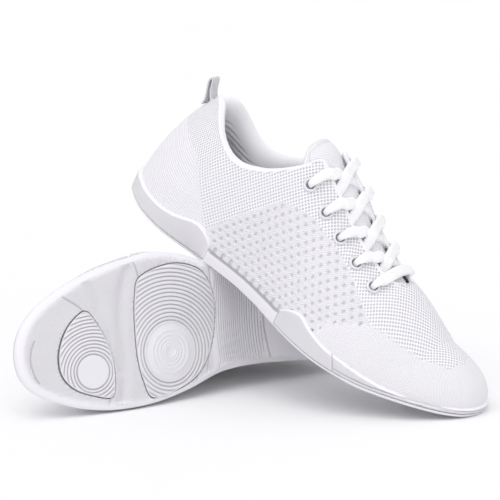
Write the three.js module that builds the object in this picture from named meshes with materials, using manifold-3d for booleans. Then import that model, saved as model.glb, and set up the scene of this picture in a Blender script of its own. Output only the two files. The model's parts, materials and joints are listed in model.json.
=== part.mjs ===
// A pair of low-cut cheer shoes: knit uppers, moulded soles with round pads under heel, ball and toe, criss-cross
// laces. Millimetres, +Z up. The left shoe lies on its inner side and the right one leans on it, toe on the floor.
//
// Each shoe is drawn in its own frame: x runs forward from the heel, y is positive towards the inner (medial) side,
// z is up from the tread. The left shoe is the right one mirrored across y = 0.
import * as THREE from 'three';
import { mergeVertices } from 'three/addons/utils/BufferGeometryUtils.js';
import Module from 'manifold-3d';

const wasm = await Module();
wasm.setup();

// ---- driving dimensions -------------------------------------------------------------------------------------
const HEEL_X = -7;              // back of the heel cup
const TOE_X = 264;              // front of the toe rand
const GAP = 0.3;                // clearance between pieces that are bonded or sewn on the real shoe
const STATIONS = 20;            // sections between heel and toe
const LEVELS = 7;               // steps from the feather line up to the ridge
const FLEX_X = 190;             // line across the ball where the toe bends
const FLEX_Z = 3;               // height of the toe hinge axis
const FLEX_DEG = 31;            // room that the toe has to bend up
const RIDGE_START = 48;         // the ridge of the last starts and ends here, so heel and toe close round
const RIDGE_END = 224;

// Layers of the wall, as insets from the outermost surface of the shoe.
const PLATE = [0, 2];           // heel cup, foxing and toe rand
const UPPER = [2.3, 4.3];       // knit upper
const STIFFENER = [4.6, 5.7];   // heel counter and toe puff
const LINING = [4.6, 10.6];     // padded collar lining
const INSOLE_INSET = 7.8;

// Outline of the sole: [x, lateral half width, medial half width].
const OUTLINE = [
  [HEEL_X, 0, 0], [3, 17, 15.5], [20, 28.5, 26], [40, 33.5, 29], [70, 32.5, 27], [100, 33.5, 26],
  [125, 39, 28], [150, 47, 36], [172, 50, 41], [190, 47.5, 42.7], [208, 43.5, 42.6], [224, 37.5, 40],
  [238, 30.5, 35.5], [251, 21.5, 29.5], [260.5, 9.5, 20.5], [TOE_X, -6, 6],
];
// Top of the sole, where the upper meets it: [x, z].
const FEATHER = [
  [HEEL_X, 12], [150, 12], [190, 11], [205, 10], [222, 10.2], [235, 11], [247, 13], [256, 15], [TOE_X, 16.5],
];
// Ridge of the last over the foot: [x, z, fullness of the lateral section, fullness of the medial section]. Behind
// the instep it lies above the collar.
const RIDGE = [
  [RIDGE_START, 108, 1.65, 1.65], [80, 109, 2.1, 2.1], [99, 105, 2.6, 3.0], [110, 98.5, 2.7, 3.4],
  [120, 92, 2.4, 3.3], [131, 85.5, 2.2, 3.1], [141, 77.5, 2.1, 2.9], [154, 70.4, 1.95, 2.5], [169, 64.2, 1.85, 2.1],
  [180, 60.6, 1.8, 1.85], [190, 58, 1.85, 1.85], [199, 54, 1.9, 1.9], [213, 46.7, 1.9, 1.9],
  [RIDGE_END, 40.6, 1.85, 1.85],
];
// How far the medial wall bulges over the arch: [x, bulge].
const BULGE = [[55, 0], [95, 7], [120, 7], [150, 2], [168, 0]];
// Edge of the collar from heel to eyestay, seen from the side: [x, z].
const COLLAR = [
  [-60, 84], [17, 84], [22, 86.5], [28, 86], [34, 81.5], [42, 74.5], [50, 69.3], [58, 66.6], [66, 67], [74, 70],
  [82, 74.2], [94, 83.5], [102, 91], [106, 97],
];
const CUP_TOP = [
  [-20, 14.5], [-5, 14.5], [10, 13.6], [32, 14.4], [42, 16], [50, 18.2], [55, 20], [60, 20.4], [64.5, 19],
  [69, 16.5], [73, 13],
];
const FOXING_TOP = [
  [137.5, 12.5], [142, 16], [147.5, 18.6], [154, 19.6], [161, 17], [171, 14.3], [180, 12.5], [FLEX_X, 11.5],
];
const RAND_TOP = [
  [FLEX_X, 11.5], [205, 10.4], [222, 10.4], [235, 11.4], [247, 13.4], [256, 15.4], [264, 17.2], [300, 24],
];

const ARCH = { from: 68, to: 132, rise: 6 };
const TOE_SPRING = Math.tan(THREE.MathUtils.degToRad(9.5));
const PAD = { below: 0.7, above: 1.3 };   // a pad stands this much below the tread and this deep in its pocket
// Half width of the throat over the tongue: [x, half width]. It ends in a round front.
const THROAT = [[88, 16.5], [116, 16.5], [146, 12.5], [173.5, 12]];
const EYELET_X = [110.9, 127.7, 143.1, 159.6, 176];
const EYELET_Y = 23;
const EYELET = { flange: 4.4, barrel: 3.2, bore: 2.6, lift: 1.0, proud: 0.8, depth: 2.5 };
const LACE_RADIUS = 1.3;
// Top of the tongue along its middle: [x, z, half width].
const TONGUE = [
  [97, 103, 16], [104, 98, 17.2], [113, 90.6, 17.4], [131, 80.6, 16], [150, 67.5, 14.5], [169, 58.5, 13],
  [183, 52.5, 9],
];
const TONGUE_THICKNESS = 4.5;
const TONGUE_DROP = 26;          // the tongue falls by y * y / TONGUE_DROP towards its edges

// Where each shoe lies: turns about z, y and x in degrees, and where its heel point is.
const RIGHT_POSE = { yaw: -30.3, pitch: 29.1, roll: 1.6, at: [-68.7, 71.3, 117.75] };
const LEFT_POSE = { yaw: 216.2, pitch: -2, roll: 98.9, at: [82.7, 83.2, 37.1] };

// ---- materials ----------------------------------------------------------------------------------------------
const finish = (color, roughness, metalness = 0) => new THREE.MeshStandardMaterial({ color, roughness, metalness });
const SOLE_FOAM = finish(0xf0eef3, 0.6);
const PAD_RUBBER = finish(0xe9e7ee, 0.5);
const KNIT = finish(0xf3f1f7, 0.95);
const LINING_KNIT = finish(0xd9d5e2, 0.95);
const BOARD = finish(0xd8d4cc, 0.9);
const FOAM = finish(0xe6e3ec, 0.9);
const LACE_WEAVE = finish(0xf6f5f9, 0.85);
const EYELET_METAL = finish(0xd5d5dc, 0.35, 0.7);
const TAPE = finish(0xb9b6c2, 0.8);

// ---- curves -------------------------------------------------------------------------------------------------
// A smooth function through [u, value, ...] rows, for one column.
function through(rows, column = 1) {
  const last = rows.length - 1;
  const slopes = rows.map((row, i) => {
    const before = rows[Math.max(i - 1, 0)];
    const after = rows[Math.min(i + 1, last)];
    return (after[column] - before[column]) / (after[0] - before[0]);
  });
  return (u) => {
    if (u <= rows[0][0]) return rows[0][column];
    if (u >= rows[last][0]) return rows[last][column];
    const i = rows.findIndex((row) => row[0] > u) - 1;
    const width = rows[i + 1][0] - rows[i][0];
    const t = (u - rows[i][0]) / width;
    const a = rows[i][column];
    const b = rows[i + 1][column];
    return a * (1 + 2 * t) * (1 - t) ** 2 + b * t * t * (3 - 2 * t)
      + width * (slopes[i] * t * (1 - t) ** 2 - slopes[i + 1] * t * t * (1 - t));
  };
}

const MIDDLE_X = (HEEL_X + TOE_X) / 2;
const HALF_LENGTH = (TOE_X - HEEL_X) / 2;
const angleOf = (x) => Math.acos(THREE.MathUtils.clamp((MIDDLE_X - x) / HALF_LENGTH, -1, 1));
const outlineByAngle = OUTLINE.map(([x, lateral, medial]) => [angleOf(x), lateral, medial]);
const lateralAt = through(outlineByAngle, 1);
const medialAt = through(outlineByAngle, 2);
const featherZ = through(FEATHER);
const ridgeZ = through(RIDGE, 1);
const lateralFullness = through(RIDGE, 2);
const medialFullness = through(RIDGE, 3);
const powerAt = (x, isMedial) => 2 / (isMedial ? medialFullness(x) : lateralFullness(x));
const throatHalf = (x) => {
  const next = Math.max(THROAT.findIndex(([edge]) => edge > x), 1);
  const [[x0, low], [x1, high]] = x > THROAT[3][0] ? [THROAT[2], THROAT[3]] : [THROAT[next - 1], THROAT[next]];
  return THREE.MathUtils.lerp(low, high, THREE.MathUtils.clamp((x - x0) / (x1 - x0), 0, 1));
};
const bulgeAt = through(BULGE);

// Height of the tread: the heel is bevelled, the arch lifts and the toe springs up.
function treadZ(x) {
  const heel = 4 * (Math.max(12 - x, 0) / 19) ** 2;
  const along = THREE.MathUtils.clamp((x - ARCH.from) / (ARCH.to - ARCH.from), 0, 1);
  const arch = ARCH.rise * Math.sin(Math.PI * along) ** 2;
  const ahead = Math.max(x - FLEX_X, 0);
  const spring = TOE_SPRING * (ahead < 20 ? (ahead * ahead) / 40 : ahead - 10);
  return heel + arch + spring;
}

// ---- solids -------------------------------------------------------------------------------------------------
// The sole's outline as a closed loop of points: heel, lateral side, toe, medial side.
const LOOP = [];
for (let i = 0; i < 2 * STATIONS; i += 1) {
  const angle = (Math.PI * (i <= STATIONS ? i : 2 * STATIONS - i)) / STATIONS;
  const y = i <= STATIONS ? -lateralAt(angle) : medialAt(angle);
  LOOP.push(new THREE.Vector2(MIDDLE_X - HALF_LENGTH * Math.cos(angle), y));
}
const INWARD = LOOP.map((point, i) => {
  const before = LOOP[(i + LOOP.length - 1) % LOOP.length];
  const after = LOOP[(i + 1) % LOOP.length];
  return new THREE.Vector2(before.y - after.y, after.x - before.x).normalize();
});

// One ring round the shoe: the outline moved inwards, at a height that may depend on x.
const ring = (inset, heightAt) => LOOP.map((point, i) => {
  const moved = point.clone().addScaledVector(INWARD[i], inset);
  return new THREE.Vector3(moved.x, moved.y, heightAt(moved.x));
});

function solidFromGeometry(geometry) {
  const bare = new THREE.BufferGeometry();
  bare.setAttribute('position', geometry.getAttribute('position').clone());
  if (geometry.index) bare.setIndex(geometry.index.clone());
  const welded = mergeVertices(bare, 1e-3);
  const index = Array.from(welded.index.array);
  const triangles = [];
  for (let i = 0; i < index.length; i += 3) {
    const [a, b, c] = index.slice(i, i + 3);
    if (a !== b && b !== c && c !== a) triangles.push(a, b, c);
  }
  return new wasm.Manifold(new wasm.Mesh({
    numProp: 3,
    vertProperties: new Float32Array(welded.getAttribute('position').array),
    triVerts: new Uint32Array(triangles),
  }));
}

function geometryFromSolid(solid) {
  const mesh = solid.getMesh();
  const geometry = new THREE.BufferGeometry();
  geometry.setAttribute('position', new THREE.BufferAttribute(Float32Array.from(mesh.vertProperties), 3));
  geometry.setIndex(Array.from(mesh.triVerts));
  geometry.computeVertexNormals();
  return geometry;
}

function geometryFromTriangles(corners) {
  const geometry = new THREE.BufferGeometry();
  geometry.setAttribute('position', new THREE.Float32BufferAttribute(corners.flatMap((p) => p.toArray()), 3));
  return geometry;
}

// A closed solid from rings stacked upwards, capped across the shoe at both ends.
function stackedSolid(rings) {
  const count = LOOP.length;
  const corners = [];
  const quad = (a, b, c, d) => corners.push(a, b, c, a, c, d);
  for (let level = 0; level + 1 < rings.length; level += 1) {
    for (let i = 0; i < count; i += 1) {
      const next = (i + 1) % count;
      quad(rings[level][i], rings[level][next], rings[level + 1][next], rings[level + 1][i]);
    }
  }
  const bottom = rings[0];
  const top = rings[rings.length - 1];
  for (let i = 0; i < STATIONS; i += 1) {
    const across = (count - i) % count;
    const acrossNext = count - i - 1;
    quad(bottom[i], bottom[across], bottom[acrossNext], bottom[i + 1]);
    quad(top[i], top[i + 1], top[acrossNext], top[across]);
  }
  return solidFromGeometry(geometryFromTriangles(corners));
}

// The last: a solid whose sides stand upright up to the feather line and then arch over to the ridge.
function lastSolid(inset) {
  const rings = [ring(inset, () => -20), ring(inset, featherZ)];
  const base = rings[1];
  for (let level = 1; level <= LEVELS; level += 1) {
    const turn = (Math.PI / 2) * (level / LEVELS);
    rings.push(base.map((point, i) => {
      const ridgeX = THREE.MathUtils.clamp(LOOP[i].x, RIDGE_START, RIDGE_END);
      const power = powerAt(ridgeX, i > STATIONS);
      const outward = level === LEVELS ? 0 : Math.cos(turn) ** power;
      const upward = Math.sin(turn) ** power;
      const bulge = i > STATIONS ? bulgeAt(LOOP[i].x) * Math.sin(2 * turn) : 0;
      return new THREE.Vector3(
        ridgeX + (point.x - ridgeX) * outward,
        point.y * outward + bulge,
        point.z + (ridgeZ(ridgeX) - inset - point.z) * upward,
      );
    }));
  }
  return stackedSolid(rings);
}

// A prism across the whole shoe whose outline is drawn from the side, as [x, z] points.
function sidePrism(points) {
  const shape = new THREE.Shape(points.map(([x, z]) => new THREE.Vector2(x, z)));
  const geometry = new THREE.ExtrudeGeometry(shape, { depth: 200, bevelEnabled: false });
  geometry.rotateX(Math.PI / 2).translate(0, 100, 0);
  return solidFromGeometry(geometry);
}

// A prism drawn from above, between two heights.
function planPrism(shape, low, high) {
  const geometry = new THREE.ExtrudeGeometry(shape, { depth: high - low, bevelEnabled: false, curveSegments: 10 });
  return solidFromGeometry(geometry.translate(0, 0, low));
}

const lasts = new Map();
function last(inset) {
  if (!lasts.has(inset)) lasts.set(inset, lastSolid(inset));
  return lasts.get(inset);
}
const wall = ([outer, inner]) => last(outer).subtract(last(inner));
const below = (lift) => stackedSolid([ring(-15, () => -40), ring(-15, (x) => featherZ(x) + lift)]);
const flipped = (points) => points.slice().reverse();

// ---- regions ------------------------------------------------------------------------------------------------
const FLEX_SLOPE = Math.tan(THREE.MathUtils.degToRad(FLEX_DEG));
const TALL = 130;
const slantX = (z) => FLEX_X + GAP / 2 + (z - FLEX_Z) * FLEX_SLOPE;
const REAR = sidePrism([[-60, -30], [FLEX_X - GAP / 2, -30], [FLEX_X - GAP / 2, TALL], [-60, TALL]]);
const TOE = sidePrism([
  [FLEX_X + GAP / 2, -30], [330, -30], [330, TALL], [slantX(TALL), TALL], [slantX(FLEX_Z), FLEX_Z],
]);
const FLEX_WEDGE = sidePrism([
  [slantX(5) - 1, 5], [slantX(TALL) - 1, TALL], [FLEX_X + GAP / 2, TALL], [FLEX_X + GAP / 2, 5],
]);
const ABOVE_COLLAR = sidePrism([[108, 160], [-60, 160], ...COLLAR]);

function throatShape() {
  const shape = new THREE.Shape();
  const [roundX, radius] = THROAT[THROAT.length - 1];
  shape.moveTo(THROAT[0][0], -THROAT[0][1]);
  THROAT.slice(1).forEach(([x, half]) => shape.lineTo(x, -half));
  shape.absarc(roundX, 0, radius, -Math.PI / 2, Math.PI / 2);
  flipped(THROAT).slice(1).forEach(([x, half]) => shape.lineTo(x, half));
  return shape;
}
const THROAT_SLOT = planPrism(throatShape(), 30, 160);

// ---- sole pads ----------------------------------------------------------------------------------------------
const smoothShape = (points) => {
  const curve = new THREE.CatmullRomCurve3(points.map(([x, y]) => new THREE.Vector3(x, y, 0)), true);
  return new THREE.Shape(curve.getSpacedPoints(30).slice(0, 30).map((p) => new THREE.Vector2(p.x, p.y)));
};
const BALL_PAD = [
  [183, -35], [169, -40.5], [153, -41.5], [138, -36], [130.5, -24], [129.5, -8], [134, 12], [144, 27], [160, 35],
  [178, 38], [184, 28], [187.5, 12], [188, -10], [186.5, -26],
];
const TOE_PAD = [
  [221, -18], [230, -12], [236, -3], [239, 8], [237.5, 19], [230, 27.5], [218, 32.5], [207, 34.5], [204.5, 26],
  [205, 12], [209, -1], [215, -12],
];
const HEEL_PAD = [[8, 0], [14, -15], [30, -21.5], [48, -20], [60, -9], [62, 4], [54, 15], [38, 19], [20, 16.5]];

// A pad under the sole, or with grow > 0 the pocket that it sits in. The toe pad follows the toe spring.
function padSolid(outline, springs, grow) {
  const corners = outline.map(([x, y]) => new THREE.Vector2(x, y));
  const centre = new THREE.Box2().setFromPoints(corners).getCenter(new THREE.Vector2());
  const grown = outline.map(([x, y]) => {
    const away = new THREE.Vector2(x, y).sub(centre);
    away.setLength(away.length() + grow);
    return [centre.x + away.x, centre.y + away.y];
  });
  const low = grow > 0 ? -8 : -PAD.below;
  const shape = smoothShape(grown);
  const geometry = new THREE.ExtrudeGeometry(shape, { depth: PAD.above + grow - low, bevelEnabled: false });
  geometry.translate(0, 0, low);
  if (springs) {
    const hingeX = FLEX_X + 10;
    geometry.translate(-hingeX, 0, 0).rotateY(-Math.atan(TOE_SPRING)).translate(hingeX, 0, 0);
  }
  return solidFromGeometry(geometry);
}

// ---- the pieces of one shoe ---------------------------------------------------------------------------------
function outsole() {
  return stackedSolid([
    ring(3, treadZ), ring(0.7, (x) => treadZ(x) + 1.4), ring(0, (x) => treadZ(x) + 3.4), ring(0, featherZ),
  ]);
}

// The heel cup, foxing and toe rand are plates bonded to the side of the sole, each in a rebate.
const CUP_BOTTOM = [[-20, 2.5], [73, 2.5]];
const FOXING_BOTTOM = [[137.5, 2.4], [FLEX_X - GAP / 2, 2.4]];
const RAND_BOTTOM = [[FLEX_X + GAP / 2, 2.6], [206, 4.2], [300, 19.5]];

function plate(bottom, top) {
  return wall(PLATE).intersect(sidePrism([...bottom, ...flipped(top)]));
}

function rebate(bottom, startX, endX) {
  const low = bottom.map(([x, z]) => [THREE.MathUtils.clamp(x, startX + 1, endX - 1), z - GAP]);
  const outline = [[startX, low[0][1]], ...low, [endX, low[low.length - 1][1]], [endX, 60], [startX, 60]];
  return last(-2).subtract(last(PLATE[1] + GAP)).intersect(sidePrism(outline));
}

function halfSpace(side) {
  const [near, far] = side > 0 ? [0, 90] : [-90, 0];
  const corners = [[-60, near], [330, near], [330, far], [-60, far]].map(([x, y]) => new THREE.Vector2(x, y));
  return planPrism(new THREE.Shape(corners), -40, 160);
}

function rearSole() {
  return outsole().intersect(REAR)
    .subtract(rebate(CUP_BOTTOM, -30, 73 + GAP))
    .subtract(rebate(FOXING_BOTTOM, 137.5 - GAP, 200))
    .subtract(padSolid(BALL_PAD, false, GAP))
    .subtract(padSolid(HEEL_PAD, false, GAP));
}

function toeSole() {
  return outsole().intersect(TOE)
    .subtract(rebate(RAND_BOTTOM, 180, 300))
    .subtract(padSolid(TOE_PAD, true, GAP));
}

const heelCup = () => plate(CUP_BOTTOM, CUP_TOP);
const foxing = (side) => plate(FOXING_BOTTOM, FOXING_TOP.map(([x, z]) => [Math.min(x, FLEX_X - GAP / 2), z]))
  .intersect(halfSpace(side));
const toeRand = () => plate(RAND_BOTTOM, RAND_TOP.map(([x, z]) => [Math.max(x, FLEX_X + GAP / 2), z]))
  .intersect(TOE);

// A layer of the sole's inside, from one height above the feather line to another.
const innerLayer = (inset, low, high) => stackedSolid([
  ring(inset, (x) => featherZ(x) + low), ring(inset, (x) => featherZ(x) + high),
]);
const insoleBoard = () => innerLayer(INSOLE_INSET, GAP, 1.8).intersect(REAR);
const sockliner = () => innerLayer(INSOLE_INSET, 2.1, 5);

// ---- eyelets ------------------------------------------------------------------------------------------------
// Height of a layer of the wall at a point over the instep, found by walking down from the ridge.
function upperZ(x, y, inset = UPPER[0]) {
  const side = Math.sign(y);
  const angle = angleOf(x);
  const halfWidth = (side < 0 ? lateralAt(angle) : medialAt(angle)) - inset;
  const bulge = side > 0 ? bulgeAt(x) : 0;
  const power = powerAt(x, side > 0);
  const base = featherZ(x);
  const steps = 400;
  for (let step = 0; step < steps; step += 1) {
    const turn = (Math.PI / 2) * (1 - step / steps);
    if (halfWidth * Math.cos(turn) ** power + bulge * Math.sin(2 * turn) >= Math.abs(y)) {
      return base + (ridgeZ(x) - inset - base) * Math.sin(turn) ** power;
    }
  }
  return base;
}

function upperNormal(x, y) {
  const step = 1;
  const slopeX = (upperZ(x + step, y) - upperZ(x - step, y)) / (2 * step);
  const slopeY = (upperZ(x, y + step) - upperZ(x, y - step)) / (2 * step);
  return new THREE.Vector3(-slopeX, -slopeY, 1).normalize();
}

const eyelets = [];
for (const side of [-1, 1]) {
  EYELET_X.forEach((x, i) => {
    const y = side * EYELET_Y;
    const normal = upperNormal(x, y);
    eyelets.push({ side, row: i + 1, at: new THREE.Vector3(x, y, upperZ(x, y)), normal });
  });
}
const eyeletAt = (row, side) => eyelets.find((eyelet) => eyelet.row === row && eyelet.side === side);

// Turns a shape drawn about the y axis so that it stands on an eyelet's place.
function placeOnEyelet(geometry, eyelet) {
  geometry.applyQuaternion(new THREE.Quaternion().setFromUnitVectors(new THREE.Vector3(0, 1, 0), eyelet.normal));
  return geometry.translate(eyelet.at.x, eyelet.at.y, eyelet.at.z);
}

function eyeletRing(eyelet) {
  const { flange, barrel, bore, lift, proud, depth } = EYELET;
  const profile = [
    [bore, -depth], [barrel, -depth], [barrel, lift], [flange, lift], [bore + 0.6, lift + proud], [bore, -depth],
  ].map(([radius, along]) => new THREE.Vector2(radius, along));
  return placeOnEyelet(new THREE.LatheGeometry(profile, 8), eyelet);
}

const eyeletHole = (eyelet) => solidFromGeometry(
  placeOnEyelet(new THREE.CylinderGeometry(EYELET.barrel + GAP, EYELET.barrel + GAP, 14, 8), eyelet),
);

// ---- upper --------------------------------------------------------------------------------------------------
const upperShell = () => wall(UPPER).subtract(below(GAP));

function quarter() {
  const open = upperShell().intersect(REAR).subtract(ABOVE_COLLAR).subtract(THROAT_SLOT);
  return eyelets.reduce((solid, eyelet) => solid.subtract(eyeletHole(eyelet)), open);
}

const vampFlex = () => upperShell().intersect(FLEX_WEDGE);
const vampToe = () => upperShell().intersect(TOE);

const COUNTER_REGION = [[-40, 5], [78, 5], [74, 24], [58, 40], [40, 48], [-40, 48]];
const heelCounter = () => wall(STIFFENER).subtract(below(GAP)).intersect(sidePrism(COUNTER_REGION));

const PUFF_REGION = [[232, 5], [330, 5], [330, TALL], [245, TALL], [232, 40]];
const toePuff = () => wall(STIFFENER).subtract(below(GAP)).intersect(sidePrism(PUFF_REGION));

// The padded lining fills the top of the collar, above the heel counter.
const LINING_BOTTOM = [[-40, 48.4], [40, 48.4], [58, 45], [80, 56], [92, 66]];
function collarLining() {
  const region = sidePrism([...LINING_BOTTOM, [92, 120], [-40, 120]]);
  return wall(LINING).intersect(region).subtract(ABOVE_COLLAR);
}

// ---- tongue -------------------------------------------------------------------------------------------------
const tongueZ = through(TONGUE, 1);
const tongueWidth = through(TONGUE, 2);

function tongue() {
  const sections = 9;
  const across = 4;
  const rings = [];
  const first = TONGUE[0][0];
  const end = TONGUE[TONGUE.length - 1][0];
  for (let i = 0; i < sections; i += 1) {
    const x = first + ((end - first) * i) / (sections - 1);
    const points = [];
    for (let k = -across; k <= across; k += 1) {
      const y = (k / across) * tongueWidth(x);
      points.push(new THREE.Vector3(x, y, tongueZ(x) - (y * y) / TONGUE_DROP));
    }
    const thin = TONGUE_THICKNESS;
    const under = flipped(points).map((p) => new THREE.Vector3(p.x - thin * 0.45, p.y, p.z - thin));
    rings.push([...points, ...under]);
  }
  const corners = [];
  const count = rings[0].length;
  for (let i = 0; i + 1 < rings.length; i += 1) {
    for (let k = 0; k < count; k += 1) {
      const next = (k + 1) % count;
      corners.push(rings[i][k], rings[i + 1][k], rings[i + 1][next], rings[i][k], rings[i + 1][next], rings[i][next]);
    }
  }
  const cap = (points, turned) => {
    for (let k = 0; k < across * 2; k += 1) {
      const [a, b, c, d] = [points[k], points[k + 1], points[count - 2 - k], points[count - 1 - k]];
      if (turned) corners.push(a, c, b, a, d, c);
      else corners.push(a, b, c, a, c, d);
    }
  };
  cap(rings[0], false);
  cap(rings[rings.length - 1], true);
  return solidFromGeometry(geometryFromTriangles(corners));
}

// ---- laces --------------------------------------------------------------------------------------------------
// A spline whose steps follow its control points, so that tight turns at the eyelets get points of their own.
class ControlPointCurve extends THREE.CatmullRomCurve3 {
  getUtoTmapping(u) {
    return u;
  }
}

const STRAND = LACE_RADIUS + 2 * GAP;
const CROSSING_LIFT = 2 * LACE_RADIUS + GAP;

// A point over the tongue, clear of it by a strand's radius.
function overTongue(x, y, lift = 0) {
  const slope = (2 * Math.abs(y)) / TONGUE_DROP;
  return new THREE.Vector3(x, y, tongueZ(x) - (y * y) / TONGUE_DROP + STRAND * Math.hypot(1, slope) + lift);
}

// A point over the upper, clear of it by a strand's radius.
const overUpper = (x, y) => new THREE.Vector3(x, y, upperZ(x, y)).addScaledVector(upperNormal(x, y), STRAND + 0.4);

// Down through an eyelet from outside, arriving from the point given.
function throughEyelet(eyelet, from) {
  const along = (height) => eyelet.at.clone().addScaledVector(eyelet.normal, height);
  const arrive = from.clone().sub(eyelet.at).projectOnPlane(eyelet.normal).setLength(3.4);
  const leave = new THREE.Vector3(-1.2, -eyelet.side, 0).projectOnPlane(eyelet.normal).setLength(2);
  return [along(3.7).add(arrive), along(1.5), along(-2.9), along(-4.8).add(leave)];
}

// From one eyelet to the next one back on the other side: under the edge of the throat, over the tongue, and up to
// the eyelet from outside. The strand that lies on top of the crossing is lifted.
function crossing(row, side, lift) {
  const start = eyeletAt(row, side).at.x;
  const end = eyeletAt(row - 1, -side).at.x;
  const edge = throatHalf(start - 2.5);
  const farEdge = throatHalf(end + 5);
  const under = [[start - 1.8, Math.min(edge + 4, 18)], [start - 2.4, edge + 1.3]].map(([x, y]) => {
    const roof = upperZ(x, side * y, UPPER[1]);
    const floor = tongueZ(x) - (y * y) / TONGUE_DROP;
    return new THREE.Vector3(x, side * y, Math.max((roof + floor) / 2 - 0.2, roof - 3.2));
  });
  const xAt = (y) => THREE.MathUtils.mapLinear(y, -farEdge, edge, end + 5, start - 3);
  const inner = edge - 4.6;
  const over = [inner, inner / 2, 0, -inner / 2].map((y) => overTongue(xAt(y), side * y, y < inner ? lift : lift / 8));
  const overEdge = overUpper(xAt(-farEdge), -side * farEdge);
  const beforeEdge = overTongue(xAt(4 - farEdge), side * (4 - farEdge));
  beforeEdge.z = Math.max(beforeEdge.z, overEdge.z + 0.6);
  return [...under, ...over, beforeEdge, overEdge, overUpper(end + 2.5, -side * (farEdge + 3))];
}

// Half of the lace: from the front eyelet on one side, back and forth up the throat, and down inside the shoe.
function laceHalf(side, from) {
  const points = [];
  let at = side;
  let previous = from;
  for (let row = EYELET_X.length; row > 1; row -= 1) {
    points.push(...throughEyelet(eyeletAt(row, at), previous));
    const onTop = (row % 2 === 0) === (side > 0);
    points.push(...crossing(row, at, onTop ? CROSSING_LIFT : 0));
    previous = points[points.length - 1];
    at = -at;
  }
  const end = eyeletAt(1, at);
  points.push(...throughEyelet(end, previous));
  for (const [ahead, drop] of [[2, 11], [5, 22]]) {
    points.push(new THREE.Vector3(end.at.x + ahead, at * (EYELET_Y - 1.5), end.at.z - drop));
  }
  return points;
}

function lacePath() {
  const front = EYELET_X[EYELET_X.length - 1];
  const bar = [-1, 1].map((side) => [overUpper(front + 2, side * 11.8), overUpper(front + 1.2, side * 17.5)]);
  const middle = new THREE.Vector3(front + 2.5, 0, Math.max(bar[0][0].z + 1, overTongue(front + 2.5, 0).z));
  const halves = [-1, 1].map((side, i) => [...bar[i], ...laceHalf(side, bar[i][1])]);
  return [...flipped(halves[0]), middle, ...halves[1]];
}

function lace() {
  const points = lacePath();
  const section = new THREE.Shape().absarc(0, 0, LACE_RADIUS, 0, 2 * Math.PI);
  return new THREE.ExtrudeGeometry(section, {
    steps: points.length - 1, curveSegments: 3, bevelEnabled: false, extrudePath: new ControlPointCurve(points),
  });
}

// ---- pull tab -----------------------------------------------------------------------------------------------
const TAB = { x: 15.4, z: 79.6, height: 12, width: 8, outer: 2.6, inner: 1.4 };

// One outline of the loop of tape, drawn from the side: straight sides between round ends, so the foot of the loop
// can turn in its place.
function tabOutline(path, radius) {
  const foot = TAB.outer;
  const head = TAB.height - TAB.outer;
  path.moveTo(radius, foot);
  path.lineTo(radius, head);
  path.absarc(0, head, radius, 0, Math.PI);
  path.lineTo(-radius, foot);
  path.absarc(0, foot, radius, Math.PI, 2 * Math.PI);
  return path;
}

// A loop of tape over the back of the collar.
function pullTab() {
  const shape = tabOutline(new THREE.Shape(), TAB.outer);
  shape.holes.push(tabOutline(new THREE.Path(), TAB.inner));
  const geometry = new THREE.ExtrudeGeometry(shape, { depth: TAB.width, bevelEnabled: false, curveSegments: 4 });
  return geometry.rotateX(Math.PI / 2).translate(TAB.x, TAB.width / 2, TAB.z);
}

// ---- the shoe and the pair ----------------------------------------------------------------------------------
const PIECES = [
  ['rear_sole', () => geometryFromSolid(rearSole()), SOLE_FOAM],
  ['toe_sole', () => geometryFromSolid(toeSole()), SOLE_FOAM],
  ['heel_cup', () => geometryFromSolid(heelCup()), SOLE_FOAM],
  ['lateral_foxing', () => geometryFromSolid(foxing(-1)), SOLE_FOAM],
  ['medial_foxing', () => geometryFromSolid(foxing(1)), SOLE_FOAM],
  ['toe_rand', () => geometryFromSolid(toeRand()), SOLE_FOAM],
  ['heel_pad', () => geometryFromSolid(padSolid(HEEL_PAD, false, 0)), PAD_RUBBER],
  ['ball_pad', () => geometryFromSolid(padSolid(BALL_PAD, false, 0)), PAD_RUBBER],
  ['toe_pad', () => geometryFromSolid(padSolid(TOE_PAD, true, 0)), PAD_RUBBER],
  ['insole_board', () => geometryFromSolid(insoleBoard()), BOARD],
  ['sockliner', () => geometryFromSolid(sockliner()), FOAM],
  ['quarter', () => geometryFromSolid(quarter()), KNIT],
  ['vamp_flex', () => geometryFromSolid(vampFlex()), KNIT],
  ['vamp_toe', () => geometryFromSolid(vampToe()), KNIT],
  ['heel_counter', () => geometryFromSolid(heelCounter()), BOARD],
  ['toe_puff', () => geometryFromSolid(toePuff()), BOARD],
  ['collar_lining', () => geometryFromSolid(collarLining()), LINING_KNIT],
  ['tongue', () => geometryFromSolid(tongue()), KNIT],
  ['lace', lace, LACE_WEAVE],
  ['pull_tab', pullTab, TAPE],
];
for (const eyelet of eyelets) {
  const name = `${eyelet.side < 0 ? 'lateral' : 'medial'}_eyelet_${eyelet.row}`;
  PIECES.push([name, () => eyeletRing(eyelet), EYELET_METAL]);
}

const shapes = PIECES.map(([name, make, material]) => ({ name, geometry: make(), material }));

function shoe(prefix, pose, mirrored) {
  const placed = new THREE.Group();
  const radians = THREE.MathUtils.degToRad;
  placed.rotation.set(radians(pose.roll), radians(pose.pitch), radians(pose.yaw), 'ZYX');
  placed.position.set(...pose.at);
  const handed = new THREE.Group();
  handed.scale.set(1, mirrored ? -1 : 1, 1);
  for (const { name, geometry, material } of shapes) {
    const mesh = new THREE.Mesh(geometry, material);
    mesh.name = `${prefix}_${name}`;
    handed.add(mesh);
  }
  placed.add(handed);
  return placed;
}

const pair = new THREE.Group();
pair.add(shoe('left', LEFT_POSE, true), shoe('right', RIGHT_POSE, false));

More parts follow.
